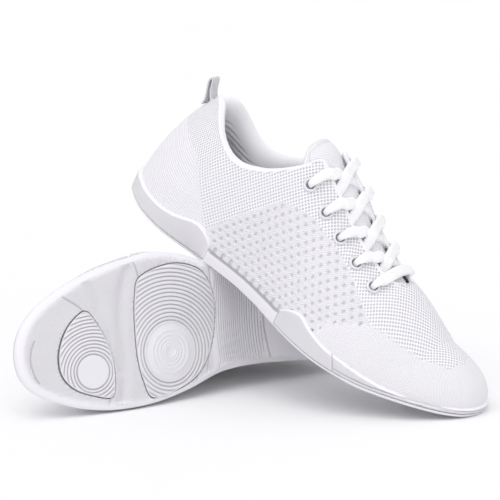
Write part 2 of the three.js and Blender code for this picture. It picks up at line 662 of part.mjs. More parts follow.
// The pair stands on z = 0 with its origin under the middle of its bounding box.
pair.updateMatrixWorld(true);
const bounds = new THREE.Box3().setFromObject(pair, true);
const centre = bounds.getCenter(new THREE.Vector3());
pair.position.set(-centre.x, -centre.y, -bounds.min.z);

export default pair;
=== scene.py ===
# Looks of a pair of knit cheer shoes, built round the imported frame. Blender and the frame are in metres. Each
# shoe is drawn in its own frame in millimetres: x runs forward from the heel, y is positive towards the inner
# side, z is up from the tread. The left shoe is the mirror image of the right one.
import json
import math

import bmesh
import bpy
import numpy as np
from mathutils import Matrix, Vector
from mathutils.geometry import delaunay_2d_cdt


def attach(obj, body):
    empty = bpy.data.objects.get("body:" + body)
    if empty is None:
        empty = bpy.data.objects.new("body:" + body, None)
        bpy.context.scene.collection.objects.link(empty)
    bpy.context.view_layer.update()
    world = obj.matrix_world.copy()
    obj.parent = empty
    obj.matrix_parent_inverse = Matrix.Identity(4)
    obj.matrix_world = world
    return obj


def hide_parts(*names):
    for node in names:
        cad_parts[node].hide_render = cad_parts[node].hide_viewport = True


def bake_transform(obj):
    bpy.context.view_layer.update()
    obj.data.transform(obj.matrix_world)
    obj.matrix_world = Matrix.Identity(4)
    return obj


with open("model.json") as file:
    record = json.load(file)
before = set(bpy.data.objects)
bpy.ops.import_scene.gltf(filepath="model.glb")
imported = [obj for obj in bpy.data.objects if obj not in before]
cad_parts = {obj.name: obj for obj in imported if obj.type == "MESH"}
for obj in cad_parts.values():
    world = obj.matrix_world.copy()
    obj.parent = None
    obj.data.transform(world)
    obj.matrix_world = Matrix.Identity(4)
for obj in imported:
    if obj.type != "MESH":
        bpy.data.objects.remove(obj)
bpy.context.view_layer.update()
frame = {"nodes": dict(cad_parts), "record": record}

# ---- shape of the shoe, as in the CAD part -------------------------------------------------------
HEEL_X, TOE_X = -7.0, 264.0
FLEX_X, FLEX_Z = 190.0, 3.0
TAB_X, TAB_Z = 15.4, 82.2
RIDGE_START, RIDGE_END = 48.0, 224.0
UPPER_OUT, UPPER_IN = 2.3, 4.3
OUTLINE = [
    [HEEL_X, 0, 0], [3, 17, 15.5], [20, 28.5, 26], [40, 33.5, 29], [70, 32.5, 27], [100, 33.5, 26],
    [125, 39, 28], [150, 47, 36], [172, 50, 41], [190, 47.5, 42.7], [208, 43.5, 42.6], [224, 37.5, 40],
    [238, 30.5, 35.5], [251, 21.5, 29.5], [260.5, 9.5, 20.5], [TOE_X, -6, 6],
]
FEATHER = [
    [HEEL_X, 12], [150, 12], [190, 11], [205, 10], [222, 10.2], [235, 11], [247, 13], [256, 15],
    [TOE_X, 16.5],
]
# The ridge over the instep: [x, z, how full the lateral side is, how full the medial side is].
RIDGE = [
    [48, 108, 1.65, 1.65], [80, 109, 2.1, 2.1], [99, 105, 2.6, 3.0], [110, 98.5, 2.7, 3.4],
    [120, 92, 2.4, 3.3], [131, 85.5, 2.2, 3.1], [141, 77.5, 2.1, 2.9], [154, 70.4, 1.95, 2.5],
    [169, 64.2, 1.85, 2.1], [180, 60.6, 1.8, 1.85], [190, 58, 1.85, 1.85], [199, 54, 1.9, 1.9],
    [213, 46.7, 1.9, 1.9], [224, 40.6, 1.85, 1.85],
]
BULGE = [[55, 0], [95, 7], [120, 7], [150, 2], [168, 0]]
COLLAR = [
    [-60, 84], [17, 84], [22, 86.5], [28, 86], [34, 81.5], [42, 74.5], [50, 69.3], [58, 66.6], [66, 67],
    [74, 70], [82, 74.2], [94, 83.5], [102, 91], [106, 97], [110, 104], [118, 122],
]
CUP_TOP = [
    [-20, 14.5], [-5, 14.5], [10, 13.6], [32, 14.4], [42, 16], [50, 18.2], [55, 20], [60, 20.4], [64.5, 19],
    [69, 16.5], [73, 13],
]
FOXING_TOP = [
    [137.5, 12.5], [142, 16], [147.5, 18.6], [154, 19.6], [161, 17], [171, 14.3], [180, 12.5], [190, 11.5],
]
RAND_TOP = [
    [180, 12.5], [190, 11.5], [205, 10.4], [222, 10.4], [235, 11.4], [247, 13.4], [256, 15.4], [264, 17.2],
]
THROAT = [[88, 16.5], [116, 16.5], [146, 12.5], [175.5, 12]]
THROAT_ROUND_X, THROAT_RADIUS = THROAT[-1]
CORNER_RADIUS = 5.0
EYELET_X = [110.9, 127.7, 143.1, 159.6, 176.0]
EYELET_Y = 23.0
TONGUE = [
    [95, 102.8, 18.5], [100, 100.6, 20.6], [106, 97, 19.6], [113, 91.6, 17.6], [131, 81.6, 16.2],
    [150, 68.4, 14.6], [169, 58.8, 13.4], [183, 53.8, 12.3], [188.5, 51.5, 11],
]
TONGUE_DROP, TONGUE_THICK, TONGUE_BACK = 38.0, 4.5, 94.5
TOE_SPRING = math.tan(math.radians(9.5))
LACE_RADIUS, GAP = 1.3, 0.3


def through(rows, column=1):
    """A smooth function through [u, value, ...] rows, for one column."""
    rows = np.array(rows, float)
    u, v = rows[:, 0], rows[:, column]
    last = len(u) - 1
    before = np.maximum(np.arange(last + 1) - 1, 0)
    after = np.minimum(np.arange(last + 1) + 1, last)
    slope = (v[after] - v[before]) / (u[after] - u[before])

    def value(at):
        at = np.clip(np.asarray(at, float), u[0], u[-1])
        i = np.clip(np.searchsorted(u, at, side="right") - 1, 0, last - 1)
        width = u[i + 1] - u[i]
        t = (at - u[i]) / width
        held = v[i] * (1 + 2 * t) * (1 - t) ** 2 + v[i + 1] * t * t * (3 - 2 * t)
        return held + width * (slope[i] * t * (1 - t) ** 2 - slope[i + 1] * t * t * (1 - t))

    return value


def line(points):
    """A function that runs straight from point to point."""
    xs, ys = np.array(points, float).T[:2]
    return lambda at: np.interp(at, xs, ys)


MIDDLE_X, HALF = (HEEL_X + TOE_X) / 2, (TOE_X - HEEL_X) / 2


def angle_of(x):
    return np.arccos(np.clip((MIDDLE_X - np.asarray(x, float)) / HALF, -1, 1))


by_angle = [[float(angle_of(x)), a, b] for x, a, b in OUTLINE]
lateral, medial = through(by_angle, 1), through(by_angle, 2)
feather, ridge, bulge_at = through(FEATHER), through(RIDGE), through(BULGE)
lateral_full, medial_full = through(RIDGE, 2), through(RIDGE, 3)
tongue_z, tongue_half = through(TONGUE), through(TONGUE, 2)
collar_line, cup_top = through(COLLAR), line(CUP_TOP)
foxing_top, rand_top = through(FOXING_TOP), through(RAND_TOP)


def smooth(low, high, value):
    t = np.clip((np.asarray(value, float) - low) / (high - low), 0, 1)
    return t * t * (3 - 2 * t)


def unit(vectors):
    return vectors / np.linalg.norm(vectors, axis=-1, keepdims=True)


def run_along(points):
    """The distance run at each point of a path."""
    return np.r_[0, np.cumsum(np.linalg.norm(np.diff(points, axis=0), axis=1))]


def flip(faces):
    return [face[::-1] for face in faces]


def loop_point(theta):
    """The sole's outline. theta runs from the heel along the lateral side to the toe at pi, and back."""
    theta = np.mod(theta, 2 * np.pi)
    phi = np.where(theta <= np.pi, theta, 2 * np.pi - theta)
    return MIDDLE_X - HALF * np.cos(phi), np.where(theta <= np.pi, -lateral(phi), medial(phi))


def moved_in(theta, inset):
    """The outline's point at an angle, moved inwards at right angles to the outline."""
    x0, y0 = loop_point(theta - 0.05)
    x1, y1 = loop_point(theta + 0.05)
    size = np.hypot(y0 - y1, x1 - x0)
    x, y = loop_point(theta)
    return x + inset * (y0 - y1) / size, y + inset * (x1 - x0) / size


def fullness(x, is_medial):
    return np.where(is_medial, medial_full(x), lateral_full(x))


def wall(theta, turn, inset):
    """The last's wall: turn runs from 0 at the feather line to pi/2 at the ridge."""
    theta, turn, inset = np.broadcast_arrays(theta, turn, inset)
    lx = loop_point(theta)[0]
    bx, by = moved_in(theta, inset)
    bz = feather(bx)
    rx = np.clip(lx, RIDGE_START, RIDGE_END)
    power = 2 / fullness(rx, np.mod(theta, 2 * np.pi) > np.pi)
    out = np.clip(np.cos(turn), 0, 1) ** power
    up = np.sin(turn) ** power
    bulge = np.where(np.mod(theta, 2 * np.pi) > np.pi, bulge_at(lx), 0) * np.sin(2 * turn)
    return np.stack([rx + (bx - rx) * out, by * out + bulge, bz + (ridge(rx) - inset - bz) * up], -1)


def side_point(theta, z, inset):
    """The point of the wall at a height: upright below the feather line, arching in above it."""
    theta, z, inset = np.broadcast_arrays(theta, z, inset)
    lx = loop_point(theta)[0]
    bx, _ = moved_in(theta, inset)
    bz = feather(bx)
    rx = np.clip(lx, RIDGE_START, RIDGE_END)
    up = np.clip((z - bz) / (ridge(rx) - inset - bz), 0, 1)
    full = fullness(rx, np.mod(theta, 2 * np.pi) > np.pi)
    point = wall(theta, np.arcsin(up ** (full / 2)), inset)
    point[..., 2] = z
    return point


def tread_z(x):
    """Height of the sole's underside: rounded up at the heel, arched, and sprung up at the toe."""
    heel = 4 * (np.maximum(12 - x, 0) / 19) ** 2
    arch = 6 * np.sin(np.pi * np.clip((x - 68) / 64, 0, 1)) ** 2
    ahead = np.maximum(x - FLEX_X, 0)
    return heel + arch + TOE_SPRING * np.where(ahead < 20, ahead * ahead / 40, ahead - 10)


# ---- the two shoes in the frame ------------------------------------------------------------------
joints = {joint["name"]: joint for joint in frame["record"]["behaviour"]["joints"]}


class Shoe:
    """One shoe's own frame, recovered from where its two hinges are."""

    def __init__(self, side):
        self.side = side
        self.mirrored = side == "left"
        toe, tab = joints[f"{side}_toe_flex"], joints[f"{side}_tab_flex"]
        self.hinge = np.array(toe["pos_m"], float)
        axis = unit(np.array(toe["axis"], float))
        along, rise = TAB_X - FLEX_X, TAB_Z - FLEX_Z
        reach = (np.array(tab["pos_m"], float) - self.hinge) * 1000
        turned = np.cross(axis, reach)
        size = along * along + rise * rise
        self.x = (along * reach - rise * turned) / size
        self.z = (rise * reach + along * turned) / size
        self.y = axis if self.mirrored else -axis

    def place(self, points):
        p = np.asarray(points, float) * 0.001
        p = p - np.array([FLEX_X, 0, FLEX_Z]) * 0.001
        return self.hinge + p[..., :1] * self.x + p[..., 1:2] * self.y + p[..., 2:] * self.z

    def body(self, part="shoe"):
        return f"{self.side}_{part}"


SHOES = [Shoe("left"), Shoe("right")]
BEND_START, BEND_END = (180, 0, 3), (232, 0, 3)


def add_mesh(name, shoe, points, faces, material, uvs=None, values=None, weld=False, sharp=None):
    """A mesh object from points in a shoe's frame. uvs and values hold one entry for each point."""
    mesh = bpy.data.meshes.new(name)
    ordered = flip(faces) if shoe.mirrored else faces
    mesh.from_pydata([tuple(p) for p in shoe.place(points)], [], ordered)
    corner = np.zeros(len(mesh.loops), int)
    mesh.loops.foreach_get("vertex_index", corner)
    for key, uv in (uvs or {}).items():
        layer = mesh.uv_layers.new(name=key)
        layer.data.foreach_set("uv", np.asarray(uv, float)[corner].ravel())
    for key, value in (values or {}).items():
        mesh.attributes.new(key, "FLOAT", "POINT").data.foreach_set("value", np.asarray(value, float))
    if weld:
        work = bmesh.new()
        work.from_mesh(mesh)
        bmesh.ops.remove_doubles(work, verts=work.verts, dist=2e-5)
        work.to_mesh(mesh)
        work.free()
    mesh.shade_smooth()
    if sharp:
        mesh.set_sharp_from_angle(angle=math.radians(sharp))
    mesh.materials.append(material)
    made = bpy.data.objects.new(name, mesh)
    bpy.context.scene.collection.objects.link(made)
    return made


def grid(rows, columns, wrap=False, first=0):
    """Faces of a grid whose points are stored row by row."""
    faces = []
    for r in range(rows - 1):
        for c in range(columns if wrap else columns - 1):
            n = (c + 1) % columns
            a, b = first + r * columns, first + (r + 1) * columns
            faces.append((a + c, a + n, b + n, b + c))
    return faces


def bends(piece, shoe):
    start, end = tuple(shoe.place(BEND_START)), tuple(shoe.place(BEND_END))
    shoe.body()
    shoe.body("toe")
    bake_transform(piece)


# ---- materials -----------------------------------------------------------------------------------
class Look:
    """A procedural material under construction: small helpers that add nodes and join them."""

    def __init__(self, name, roughness=0.8, sheen=0.0, coat=0.0, metallic=0.0, specular=0.3):
        self.material = bpy.data.materials.new(name)
        self.material.use_nodes = True
        self.tree = self.material.node_tree
        self.shader = self.tree.nodes["Principled BSDF"]
        settings = {
            "Roughness": roughness, "Sheen Weight": sheen, "Coat Weight": coat, "Metallic": metallic,
            "Specular IOR Level": specular,
        }
        for key, value in settings.items():
            self.shader.inputs[key].default_value = value

    def node(self, kind, *inputs, **settings):
        made = self.tree.nodes.new(kind)
        for key, value in settings.items():
            setattr(made, key, value)
        for socket, value in zip(made.inputs, inputs):
            if value is None:
                continue
            if isinstance(value, bpy.types.NodeSocket):
                self.tree.links.new(value, socket)
            else:
                socket.default_value = value
        return made

    def math(self, operation, a, b=None, c=None):
        return self.node("ShaderNodeMath", a, b, c, operation=operation).outputs[0]

    def mul(self, a, b):
        return self.math("MULTIPLY", a, b)

    def fma(self, a, b, c):
        """a times b plus c."""
        return self.math("MULTIPLY_ADD", a, b, c)

    def uv(self, name):
        split = self.node("ShaderNodeSeparateXYZ", self.node("ShaderNodeUVMap", uv_map=name).outputs[0])
        return split.outputs[0], split.outputs[1]

    def value(self, name):
        return self.node("ShaderNodeAttribute", attribute_name=name).outputs["Fac"]

    def wave(self, at, pitch, offset=0.0):
        """A cosine of the coordinate, from -1 to 1."""
        turned = self.fma(at, 2 * math.pi / pitch, offset)
        return self.math("COSINE", turned)

    def band(self, at, low, high):
        made = self.node("ShaderNodeMapRange", interpolation_type="SMOOTHSTEP")
        self.tree.links.new(at, made.inputs["Value"])
        made.inputs["From Min"].default_value = low
        made.inputs["From Max"].default_value = high
        return made.outputs["Result"]

    def noise(self, scale, detail=3.0, roughness=0.5, vector=None):
        made = self.node("ShaderNodeTexNoise")
        made.inputs["Scale"].default_value = scale
        made.inputs["Detail"].default_value = detail
        made.inputs["Roughness"].default_value = roughness
        place = vector or self.node("ShaderNodeTexCoord").outputs["Object"]
        self.tree.links.new(place, made.inputs["Vector"])
        return made.outputs[0]

    def mix(self, factor, a, b):
        return self.node("ShaderNodeMix", factor, None, a, b, data_type="FLOAT").outputs[0]

    def colours(self, factor, dark, light):
        ramp = self.node("ShaderNodeValToRGB", factor)
        ramp.color_ramp.elements[0].color = (*dark, 1)
        ramp.color_ramp.elements[1].color = (*light, 1)
        self.tree.links.new(ramp.outputs[0], self.shader.inputs["Base Color"])

    def bump(self, height, distance, strength=1.0):
        made = self.node("ShaderNodeBump")
        made.inputs["Distance"].default_value = distance
        made.inputs["Strength"].default_value = strength
        self.tree.links.new(height, made.inputs["Height"])
        self.tree.links.new(made.outputs[0], self.shader.inputs["Normal"])


WHITE = (0.86, 0.85, 0.88)


def knit_look():
    """Engineered knit: dotted mesh, fine ribs at the heel, fine lines at the toe, open dimples at midfoot."""
    look = Look("knit", roughness=0.92, sheen=0.25, specular=0.15)
    a, h = look.uv("KnitSide")
    k, l = look.uv("KnitTop")
    dots_side = look.mul(look.wave(a, 2.5), look.wave(h, 3.0))
    dots_top = look.mul(look.wave(k, 2.5), look.wave(l, 3.0))
    dots = look.band(look.mix(look.value("front"), dots_side, dots_top), 0.1, 0.75)
    diagonal = look.band(look.wave(look.fma(a, 0.3, h), 1.7), -0.6, 0.8)
    ribs = look.mul(diagonal, 0.45)
    toe_rows = look.mul(look.wave(l, 1.25), look.wave(k, 2.2))
    lines = look.mul(look.band(toe_rows, -0.2, 0.8), 0.4)
    mid_rows = look.mul(look.band(look.wave(look.math("SUBTRACT", a, h), 1.6), -0.4, 0.8), 0.35)
    holes = look.mix(look.value("heel"), dots, ribs)
    holes = look.mix(look.value("mid"), holes, mid_rows)
    holes = look.mix(look.value("toe"), holes, lines)
    # Painted shade: the dimples are darkened in the colour as well as pressed into the mesh.
    deep = look.math("MAXIMUM", holes, look.value("dimple"))
    plain = look.mul(deep, look.math("SUBTRACT", 1.0, look.value("edge")))
    fuzz = look.noise(900.0, 2.0)
    soft = look.fma(fuzz, 0.18, look.mul(plain, -1.0))
    # Eases the painted shade in the dimples a little.
    holes_and_softened_dimple_shade = look.math("SUBTRACT", plain, look.mul(look.value("dimple"), 0.15))
    shade = look.fma(look.noise(60.0, 3.0), 0.1, look.fma(holes_and_softened_dimple_shade, -0.62, 0.95))
    # Painted highlight: the midfoot is made a little darker everywhere except on the raised lips of the
    # dimples.
    painted_lip_highlight = look.mul(look.value("mid"), look.math("SUBTRACT", look.value("lip"), 1.0))
    shade = look.fma(painted_lip_highlight, 0.09, shade)
    look.colours(shade, (0.62, 0.6, 0.68), (0.93, 0.92, 0.945))
    look.bump(soft, 0.0007)
    return look.material


def sole_look(name, tone, hatch):
    """Moulded foam rubber: fine grain, cross-hatched where the mould is textured, with painted shade in
    hollows.
    """
    light = tuple(c * tone for c in WHITE)
    look = Look(name, roughness=0.55, sheen=0.0, specular=0.35)
    u, v = look.uv("Mould")
    rising, falling = look.math("ADD", u, v), look.math("SUBTRACT", u, v)
    crossed = look.mul(look.wave(rising, 1.5), look.wave(falling, 1.5))
    pressed = look.mul(look.mul(look.band(crossed, -0.3, 0.7), hatch), look.value("hatch"))
    grain = look.noise(1400.0, 3.0)
    height = look.fma(grain, 0.12, look.mul(pressed, -1.0))
    tint = look.fma(look.noise(25.0, 4.0), 0.1, 0.885)
    # Painted shade: the colour is darkened in grooves, gaps and pocket walls.
    tint = look.fma(look.value("hollow_shade"), -0.53, look.fma(pressed, -0.08, tint))
    look.colours(tint, tuple(c * 0.4 for c in light), light)
    look.bump(height, 0.0004)
    return look.material


def lining_look():
    """Soft ribbed lining: fine diagonal ribs below, smooth brushed cloth on the padded edge."""
    look = Look("lining", roughness=0.95, sheen=0.1, specular=0.1)
    a, h = look.uv("Cloth")
    ribs = look.band(look.wave(look.fma(a, 0.45, h), 4.2), -0.4, 0.8)
    ribs = look.mul(ribs, look.value("ribbed"))
    height = look.fma(look.noise(1200.0, 3.0), 0.2, look.mul(ribs, -1.0))
    tint = look.fma(ribs, -0.5, look.fma(look.noise(70.0, 3.0), 0.12, 0.9))
    look.colours(tint, (0.55, 0.54, 0.6), (0.92, 0.915, 0.935))
    look.bump(height, 0.0005)
    return look.material


def tongue_look():
    look = Look("tongue_knit", roughness=0.92, sheen=0.3, specular=0.12)
    a, h = look.uv("Cloth")
    cells = look.mul(look.wave(a, 1.5), look.wave(h, 1.9))
    cells = look.mul(look.band(cells, -0.1, 0.8), 0.6)
    height = look.fma(look.noise(1100.0, 3.0), 0.2, look.mul(cells, -1.0))
    tint = look.fma(cells, -0.35, look.fma(look.noise(70.0, 3.0), 0.15, 0.85))
    tint = look.fma(look.value("seam"), -0.35, tint)
    look.colours(tint, (0.66, 0.64, 0.72), (0.93, 0.92, 0.945))
    look.bump(height, 0.0004)
    return look.material


def lace_look():
    """Soft woven lace: a herringbone of fine yarns with a smooth edge."""
    look = Look("lace_weave", roughness=0.85, sheen=0.3, specular=0.15)
    u, v = look.uv("Cloth")
    slant = look.fma(look.math("ABSOLUTE", v), 1.2, u)
    yarns = look.band(look.wave(slant, 1.5), -0.7, 0.8)
    height = look.fma(look.noise(1500.0, 2.0), 0.15, yarns)
    tint = look.fma(yarns, 0.25, look.fma(look.noise(90.0, 3.0), 0.1, 0.68))
    look.colours(tint, (0.9, 0.895, 0.915), (0.98, 0.975, 0.985))
    look.bump(height, 0.00012)
    return look.material


def tape_look():
    look = Look("grey_tape", roughness=0.75, sheen=0.2, specular=0.2)
    u, v = look.uv("Cloth")
    weave = look.mul(look.wave(u, 0.9), look.wave(v, 1.1))
    height = look.band(weave, -0.6, 0.6)
    look.colours(look.fma(height, 0.5, 0.3), (0.66, 0.65, 0.7), (0.86, 0.855, 0.89))
    look.bump(height, 0.00025)
    return look.material


def eyelet_look():
    look = Look("eyelet_metal", roughness=0.34, metallic=0.1, specular=0.6, coat=0.2)
    worn = look.noise(500.0, 3.0)
    look.colours(worn, (0.7, 0.69, 0.74), (0.86, 0.855, 0.89))
    look.bump(look.noise(2500.0, 2.0), 0.00004)
    return look.material


def board_look():
    look = Look("board", roughness=0.9)
    look.colours(look.noise(300.0, 4.0), (0.6, 0.57, 0.5), (0.78, 0.75, 0.69))
    look.bump(look.noise(900.0, 3.0), 0.0003)
    return look.material


def floor_look():
    """A plain white studio floor, as pale as the backdrop."""
    look = Look("studio_floor", roughness=1.0, specular=0.0)
    look.colours(look.noise(3.0, 2.0), (0.93, 0.93, 0.935), (0.95, 0.95, 0.955))
    return look.material


KNIT, LINING, TONGUE_KNIT, LACE = knit_look(), lining_look(), tongue_look(), lace_look()
SOLE = sole_look("sole_foam", 1.05, 0.7)
# The side plates get a lighter copy of the sole foam: painted light that offsets the shade on their down-facing
# faces.
SIDE = sole_look("side_wall", 1.1, 0.8)
RUBBER = sole_look("pad_rubber", 0.97, 0.0)
TAPE, EYELET, BOARD, FLOOR = tape_look(), eyelet_look(), board_look(), floor_look()


# ---- upper ---------------------------------------------------------------------------------------
def throat_half(x):
    """Half the width of the open throat, with a round front end; negative where there is no throat."""
    round_front = np.sqrt(np.clip(THROAT_RADIUS ** 2 - np.maximum(x - THROAT_ROUND_X, 0) ** 2, 0, None))
    beyond = (x < THROAT[0][0]) | (x > THROAT_ROUND_X + THROAT_RADIUS)
    return np.where(beyond, -1, np.minimum(line(THROAT)(x), round_front))


def open_at(points):
    """True where the shoe is open: above the collar line or in the throat, with a round corner between."""
    x, y, z = points[..., 0], points[..., 1], points[..., 2]
    above = np.maximum(z - collar_line(x) + CORNER_RADIUS, 0)
    within = np.maximum(throat_half(x) - np.abs(y) + CORNER_RADIUS, 0)
    return np.hypot(above, within) > CORNER_RADIUS


def station_angles():
    """Sections of the upper along one side, close together where the knit has dimples or the edge turns."""
    heel = np.linspace(0, float(angle_of(RIDGE_START)), 44)[:-1]
    front = THROAT_ROUND_X + THROAT_RADIUS * np.sin(np.linspace(0, np.pi / 2, 24))
    side = np.r_[np.arange(RIDGE_START, 56, 1.2), np.arange(56, THROAT_ROUND_X - 0.3, 0.65)]
    middle = np.r_[side, front, front[-1] + 0.3]
    ahead = np.arange(front[-1] + 1.2, RIDGE_END - 0.6, 1.2)
    toe = np.linspace(float(angle_of(RIDGE_END)), np.pi, 54)
    return np.r_[heel, angle_of(middle), angle_of(ahead), toe]


ONE_SIDE = station_angles()
COLUMNS = np.r_[ONE_SIDE, 2 * np.pi - ONE_SIDE[-2::-1]]
SAMPLES = np.linspace(0, np.pi / 2, 1200)


class Columns:
    """Arc lengths and the open edge for a set of columns round the shoe."""

    def __init__(self, theta):
        self.theta = theta
        points = wall(theta[:, None], SAMPLES[None, :], UPPER_OUT)
        steps = np.linalg.norm(np.diff(points, axis=1), axis=2)
        self.length = np.c_[np.zeros(len(theta)), np.cumsum(steps, axis=1)]
        is_open = open_at(points)
        is_open[:, :20] = False
        self.has_edge = is_open.any(axis=1)
        first = np.where(self.has_edge, is_open.argmax(axis=1), len(SAMPLES) - 1)
        self.edge = self.length[np.arange(len(theta)), first]
        self.total = self.length[:, -1]

    def turn(self, arc):
        """The turn at an arc length up from the feather line; arc has a row for each level."""
        arc = np.broadcast_to(arc, (np.shape(arc)[0], len(self.theta)))
        return np.stack([np.interp(arc[:, i], self.length[i], SAMPLES) for i in range(len(self.theta))], 1)


# Borders of the knit's zones: heel as x for each z, midfoot as z for each x, toe as distance from the middle.
heel_bound = line([
    [13, 72], [18.9, 67.5], [23, 60.6], [38.5, 50.1], [56.4, 33.8], [61.6, 13.9], [72, -4], [90, -20],
])
mid_bound = line([
    [58, 10], [66.5, 21], [81.2, 42], [100, 63.4], [112, 67], [124.3, 67.8], [149.1, 58.8], [167.6, 49.7],
    [179.8, 42.1], [191, 36], [196, 20],
])
toe_bound = line([
    [150, 70], [158, 49.5], [165, 46.9], [177, 43.2], [190.8, 35.6], [210.8, 28.7], [227, 20], [239.4, 11.8],
    [240, 3.9], [244, -3],
])
UPPER_ROWS, UPPER_INNER_ROWS, RIM = 118, 14, (0.15, 0.5, 0.85)
DIMPLE_PITCH, WEAVE_PITCH, LIP_SHIFT = (6.4, 8.4), (3.2, 4.2), 1.7
KNIT_ORIGIN_X, TOE_START_X = 60, 150
EDGE_BAND, PIPING = 1.8, 3.4
HOLE_RADIUS, HOLE_DEPTH = 3.1, 6


def bare_side(x):
    """1 where no plate covers the sole's side, between the heel cup and the panels at the ball."""
    return smooth(CUP_END - 6, CUP_END + 4, x) * smooth(FOXING_START + 6, FOXING_START - 4, x)


def lattice(pitch, a, h):
    return np.cos(2 * np.pi * a / pitch[0]) * np.cos(2 * np.pi * h / pitch[1])


def along_side(theta, lx):
    """Distance along the knit: round the heel by arc length, and by x in front of it."""
    ran = run_along(np.stack(loop_point(theta), -1))
    last = len(ONE_SIDE) - 1
    anchor = int(np.argmin(np.abs(lx[:last] - KNIT_ORIGIN_X)))
    on_lateral = np.arange(len(theta)) <= last
    around = np.where(on_lateral, ran - ran[anchor], ran[2 * last - anchor] - ran)
    return np.where(lx < KNIT_ORIGIN_X, KNIT_ORIGIN_X + around, lx)


def over_toe(theta, lx, ramp):
    """Flat knit coordinates over the toe, from the distance down from the ridge."""
    bx, by = moved_in(theta, UPPER_OUT)
    rx = np.clip(lx, RIDGE_START, RIDGE_END)
    reach = np.hypot(bx - rx, by)
    return rx + ramp * (bx - rx) / reach, ramp * by / reach


def knit_zones(outer, along, arc, columns, lx):
    """Masks of the knit's zones and of its dimples, and how far each stands out."""
    x, y, z = outer[..., 0], outer[..., 1], outer[..., 2]
    scallop = 0.7 * np.cos(2 * np.pi * x / 4.4)
    toe = smooth(-0.5, 0.5, np.abs(y) - toe_bound(x) - scallop) * (x > TOE_START_X)
    heel = smooth(0.8, -0.8, x - heel_bound(z))
    mid = smooth(-0.8, 0.8, mid_bound(x) - z) * (1 - heel) * (1 - toe)
    mid = mid * smooth(KNIT_ORIGIN_X - 3, KNIT_ORIGIN_X, x)
    well_in = smooth(0.75, 0.98, mid)
    wells = lattice(DIMPLE_PITCH, along, arc)
    dimple = smooth(0.45, 0.85, wells) * well_in
    lip = smooth(0.5, 0.95, lattice(DIMPLE_PITCH, along, arc + LIP_SHIFT))
    lip = lip * (1 - smooth(0.3, 0.6, wells)) * well_in
    below = columns.edge - arc
    near_edge = columns.has_edge * smooth(EDGE_BAND + 0.8, EDGE_BAND, below)
    piped = columns.has_edge * smooth(PIPING, PIPING - 1, below) * smooth(174, 180, lx)
    relief = -1.25 * dimple + 0.7 * lip + 0.16 * lattice(WEAVE_PITCH, along, arc) * mid + 0.35 * toe
    relief = relief + 0.5 * near_edge + 0.9 * piped * np.sin(np.pi * np.clip(below / PIPING, 0.15, 0.85))
    return {"heel": heel, "mid": mid, "toe": toe, "dimple": dimple, "lip": lip, "edge": near_edge}, relief


def open_faces(points, faces, count, has_edge):
    """Faces of the upper without those over the open ridge and in the holes of the eyelets."""
    row, column = faces[:, 0] // count, faces[:, 0] % count
    on_ridge = (row >= UPPER_ROWS) & (row <= UPPER_ROWS + len(RIM))
    on_ridge &= ~(has_edge[column] | has_edge[(column + 1) % count])
    middle = points[faces].mean(axis=1)
    in_hole = np.zeros(len(faces), bool)
    for place in EYELETS:
        offset = middle - place["at"]
        height = offset @ place["normal"]
        radial = np.linalg.norm(offset - height[:, None] * place["normal"], axis=1)
        in_hole |= (radial < HOLE_RADIUS) & (np.abs(height) < HOLE_DEPTH)
    return [tuple(int(v) for v in f) for f in faces[~(on_ridge | in_hole)]]


def upper(shoe):
    """The knit upper: a skirt down behind the sole, the outer face, the rolled edge and the inner face."""
    columns = Columns(COLUMNS)
    theta, edge = columns.theta, columns.edge
    lx = loop_point(theta)[0]
    arc = np.linspace(0, 1, UPPER_ROWS)[:, None] * edge
    turn = columns.turn(arc)
    outer = wall(theta[None, :], turn, UPPER_OUT)
    skirt = outer[0].copy()
    skirt[:, 2] -= 1.5 + 2.6 * bare_side(lx)

    along = np.broadcast_to(along_side(theta, lx), arc.shape)
    k, l = over_toe(theta, lx, columns.total[None, :] - arc)
    zones, relief = knit_zones(outer, along, arc, columns, lx)
    zones["front"] = smooth(TOE_START_X, TOE_START_X + 2, outer[..., 0]) * (1 - zones["mid"])
    outward = unit(wall(theta[None, :], turn, UPPER_OUT - 1.0) - outer)
    outer = outer + outward * relief[..., None]

    tangent = unit(outer[-1] - outer[-4])
    inner_edge = wall(theta, turn[-1], UPPER_IN)
    rim = [outer[-1] * (1 - f) + inner_edge * f + tangent * 0.9 * math.sin(math.pi * f) for f in RIM]
    inner_turn = columns.turn(np.linspace(1, 0, UPPER_INNER_ROWS)[:, None] * edge)
    inner = wall(theta[None, :], inner_turn, UPPER_IN)
    points = np.concatenate([skirt[None], outer, np.stack(rim), inner])
    total_rows, count = points.shape[:2]

    def rows_of(values, fill=None):
        """Values of the outer face, repeated over the skirt and, unless filled, over rim and inner face."""
        rest = total_rows - UPPER_ROWS - 1
        tail = np.repeat(values[-1:], rest, axis=0) if fill is None else np.full((rest, count), fill)
        return np.concatenate([values[:1], values, tail]).ravel()

    flat = points.reshape(-1, 3)
    faces = open_faces(flat, np.array(grid(total_rows, count)), count, columns.has_edge)
    uvs = {
        "KnitSide": np.stack([rows_of(along), rows_of(arc)], -1),
        "KnitTop": np.stack([rows_of(k), rows_of(l)], -1),
    }
    values = {name: rows_of(zone, 1.0 if name == "edge" else 0.0) for name, zone in zones.items()}
    made = add_mesh(f"{shoe.side}_knit_upper", shoe, flat, faces, KNIT, uvs, values, weld=True)
    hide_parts(f"{shoe.side}_quarter", f"{shoe.side}_vamp_flex", f"{shoe.side}_vamp_toe")
    bends(made, shoe)


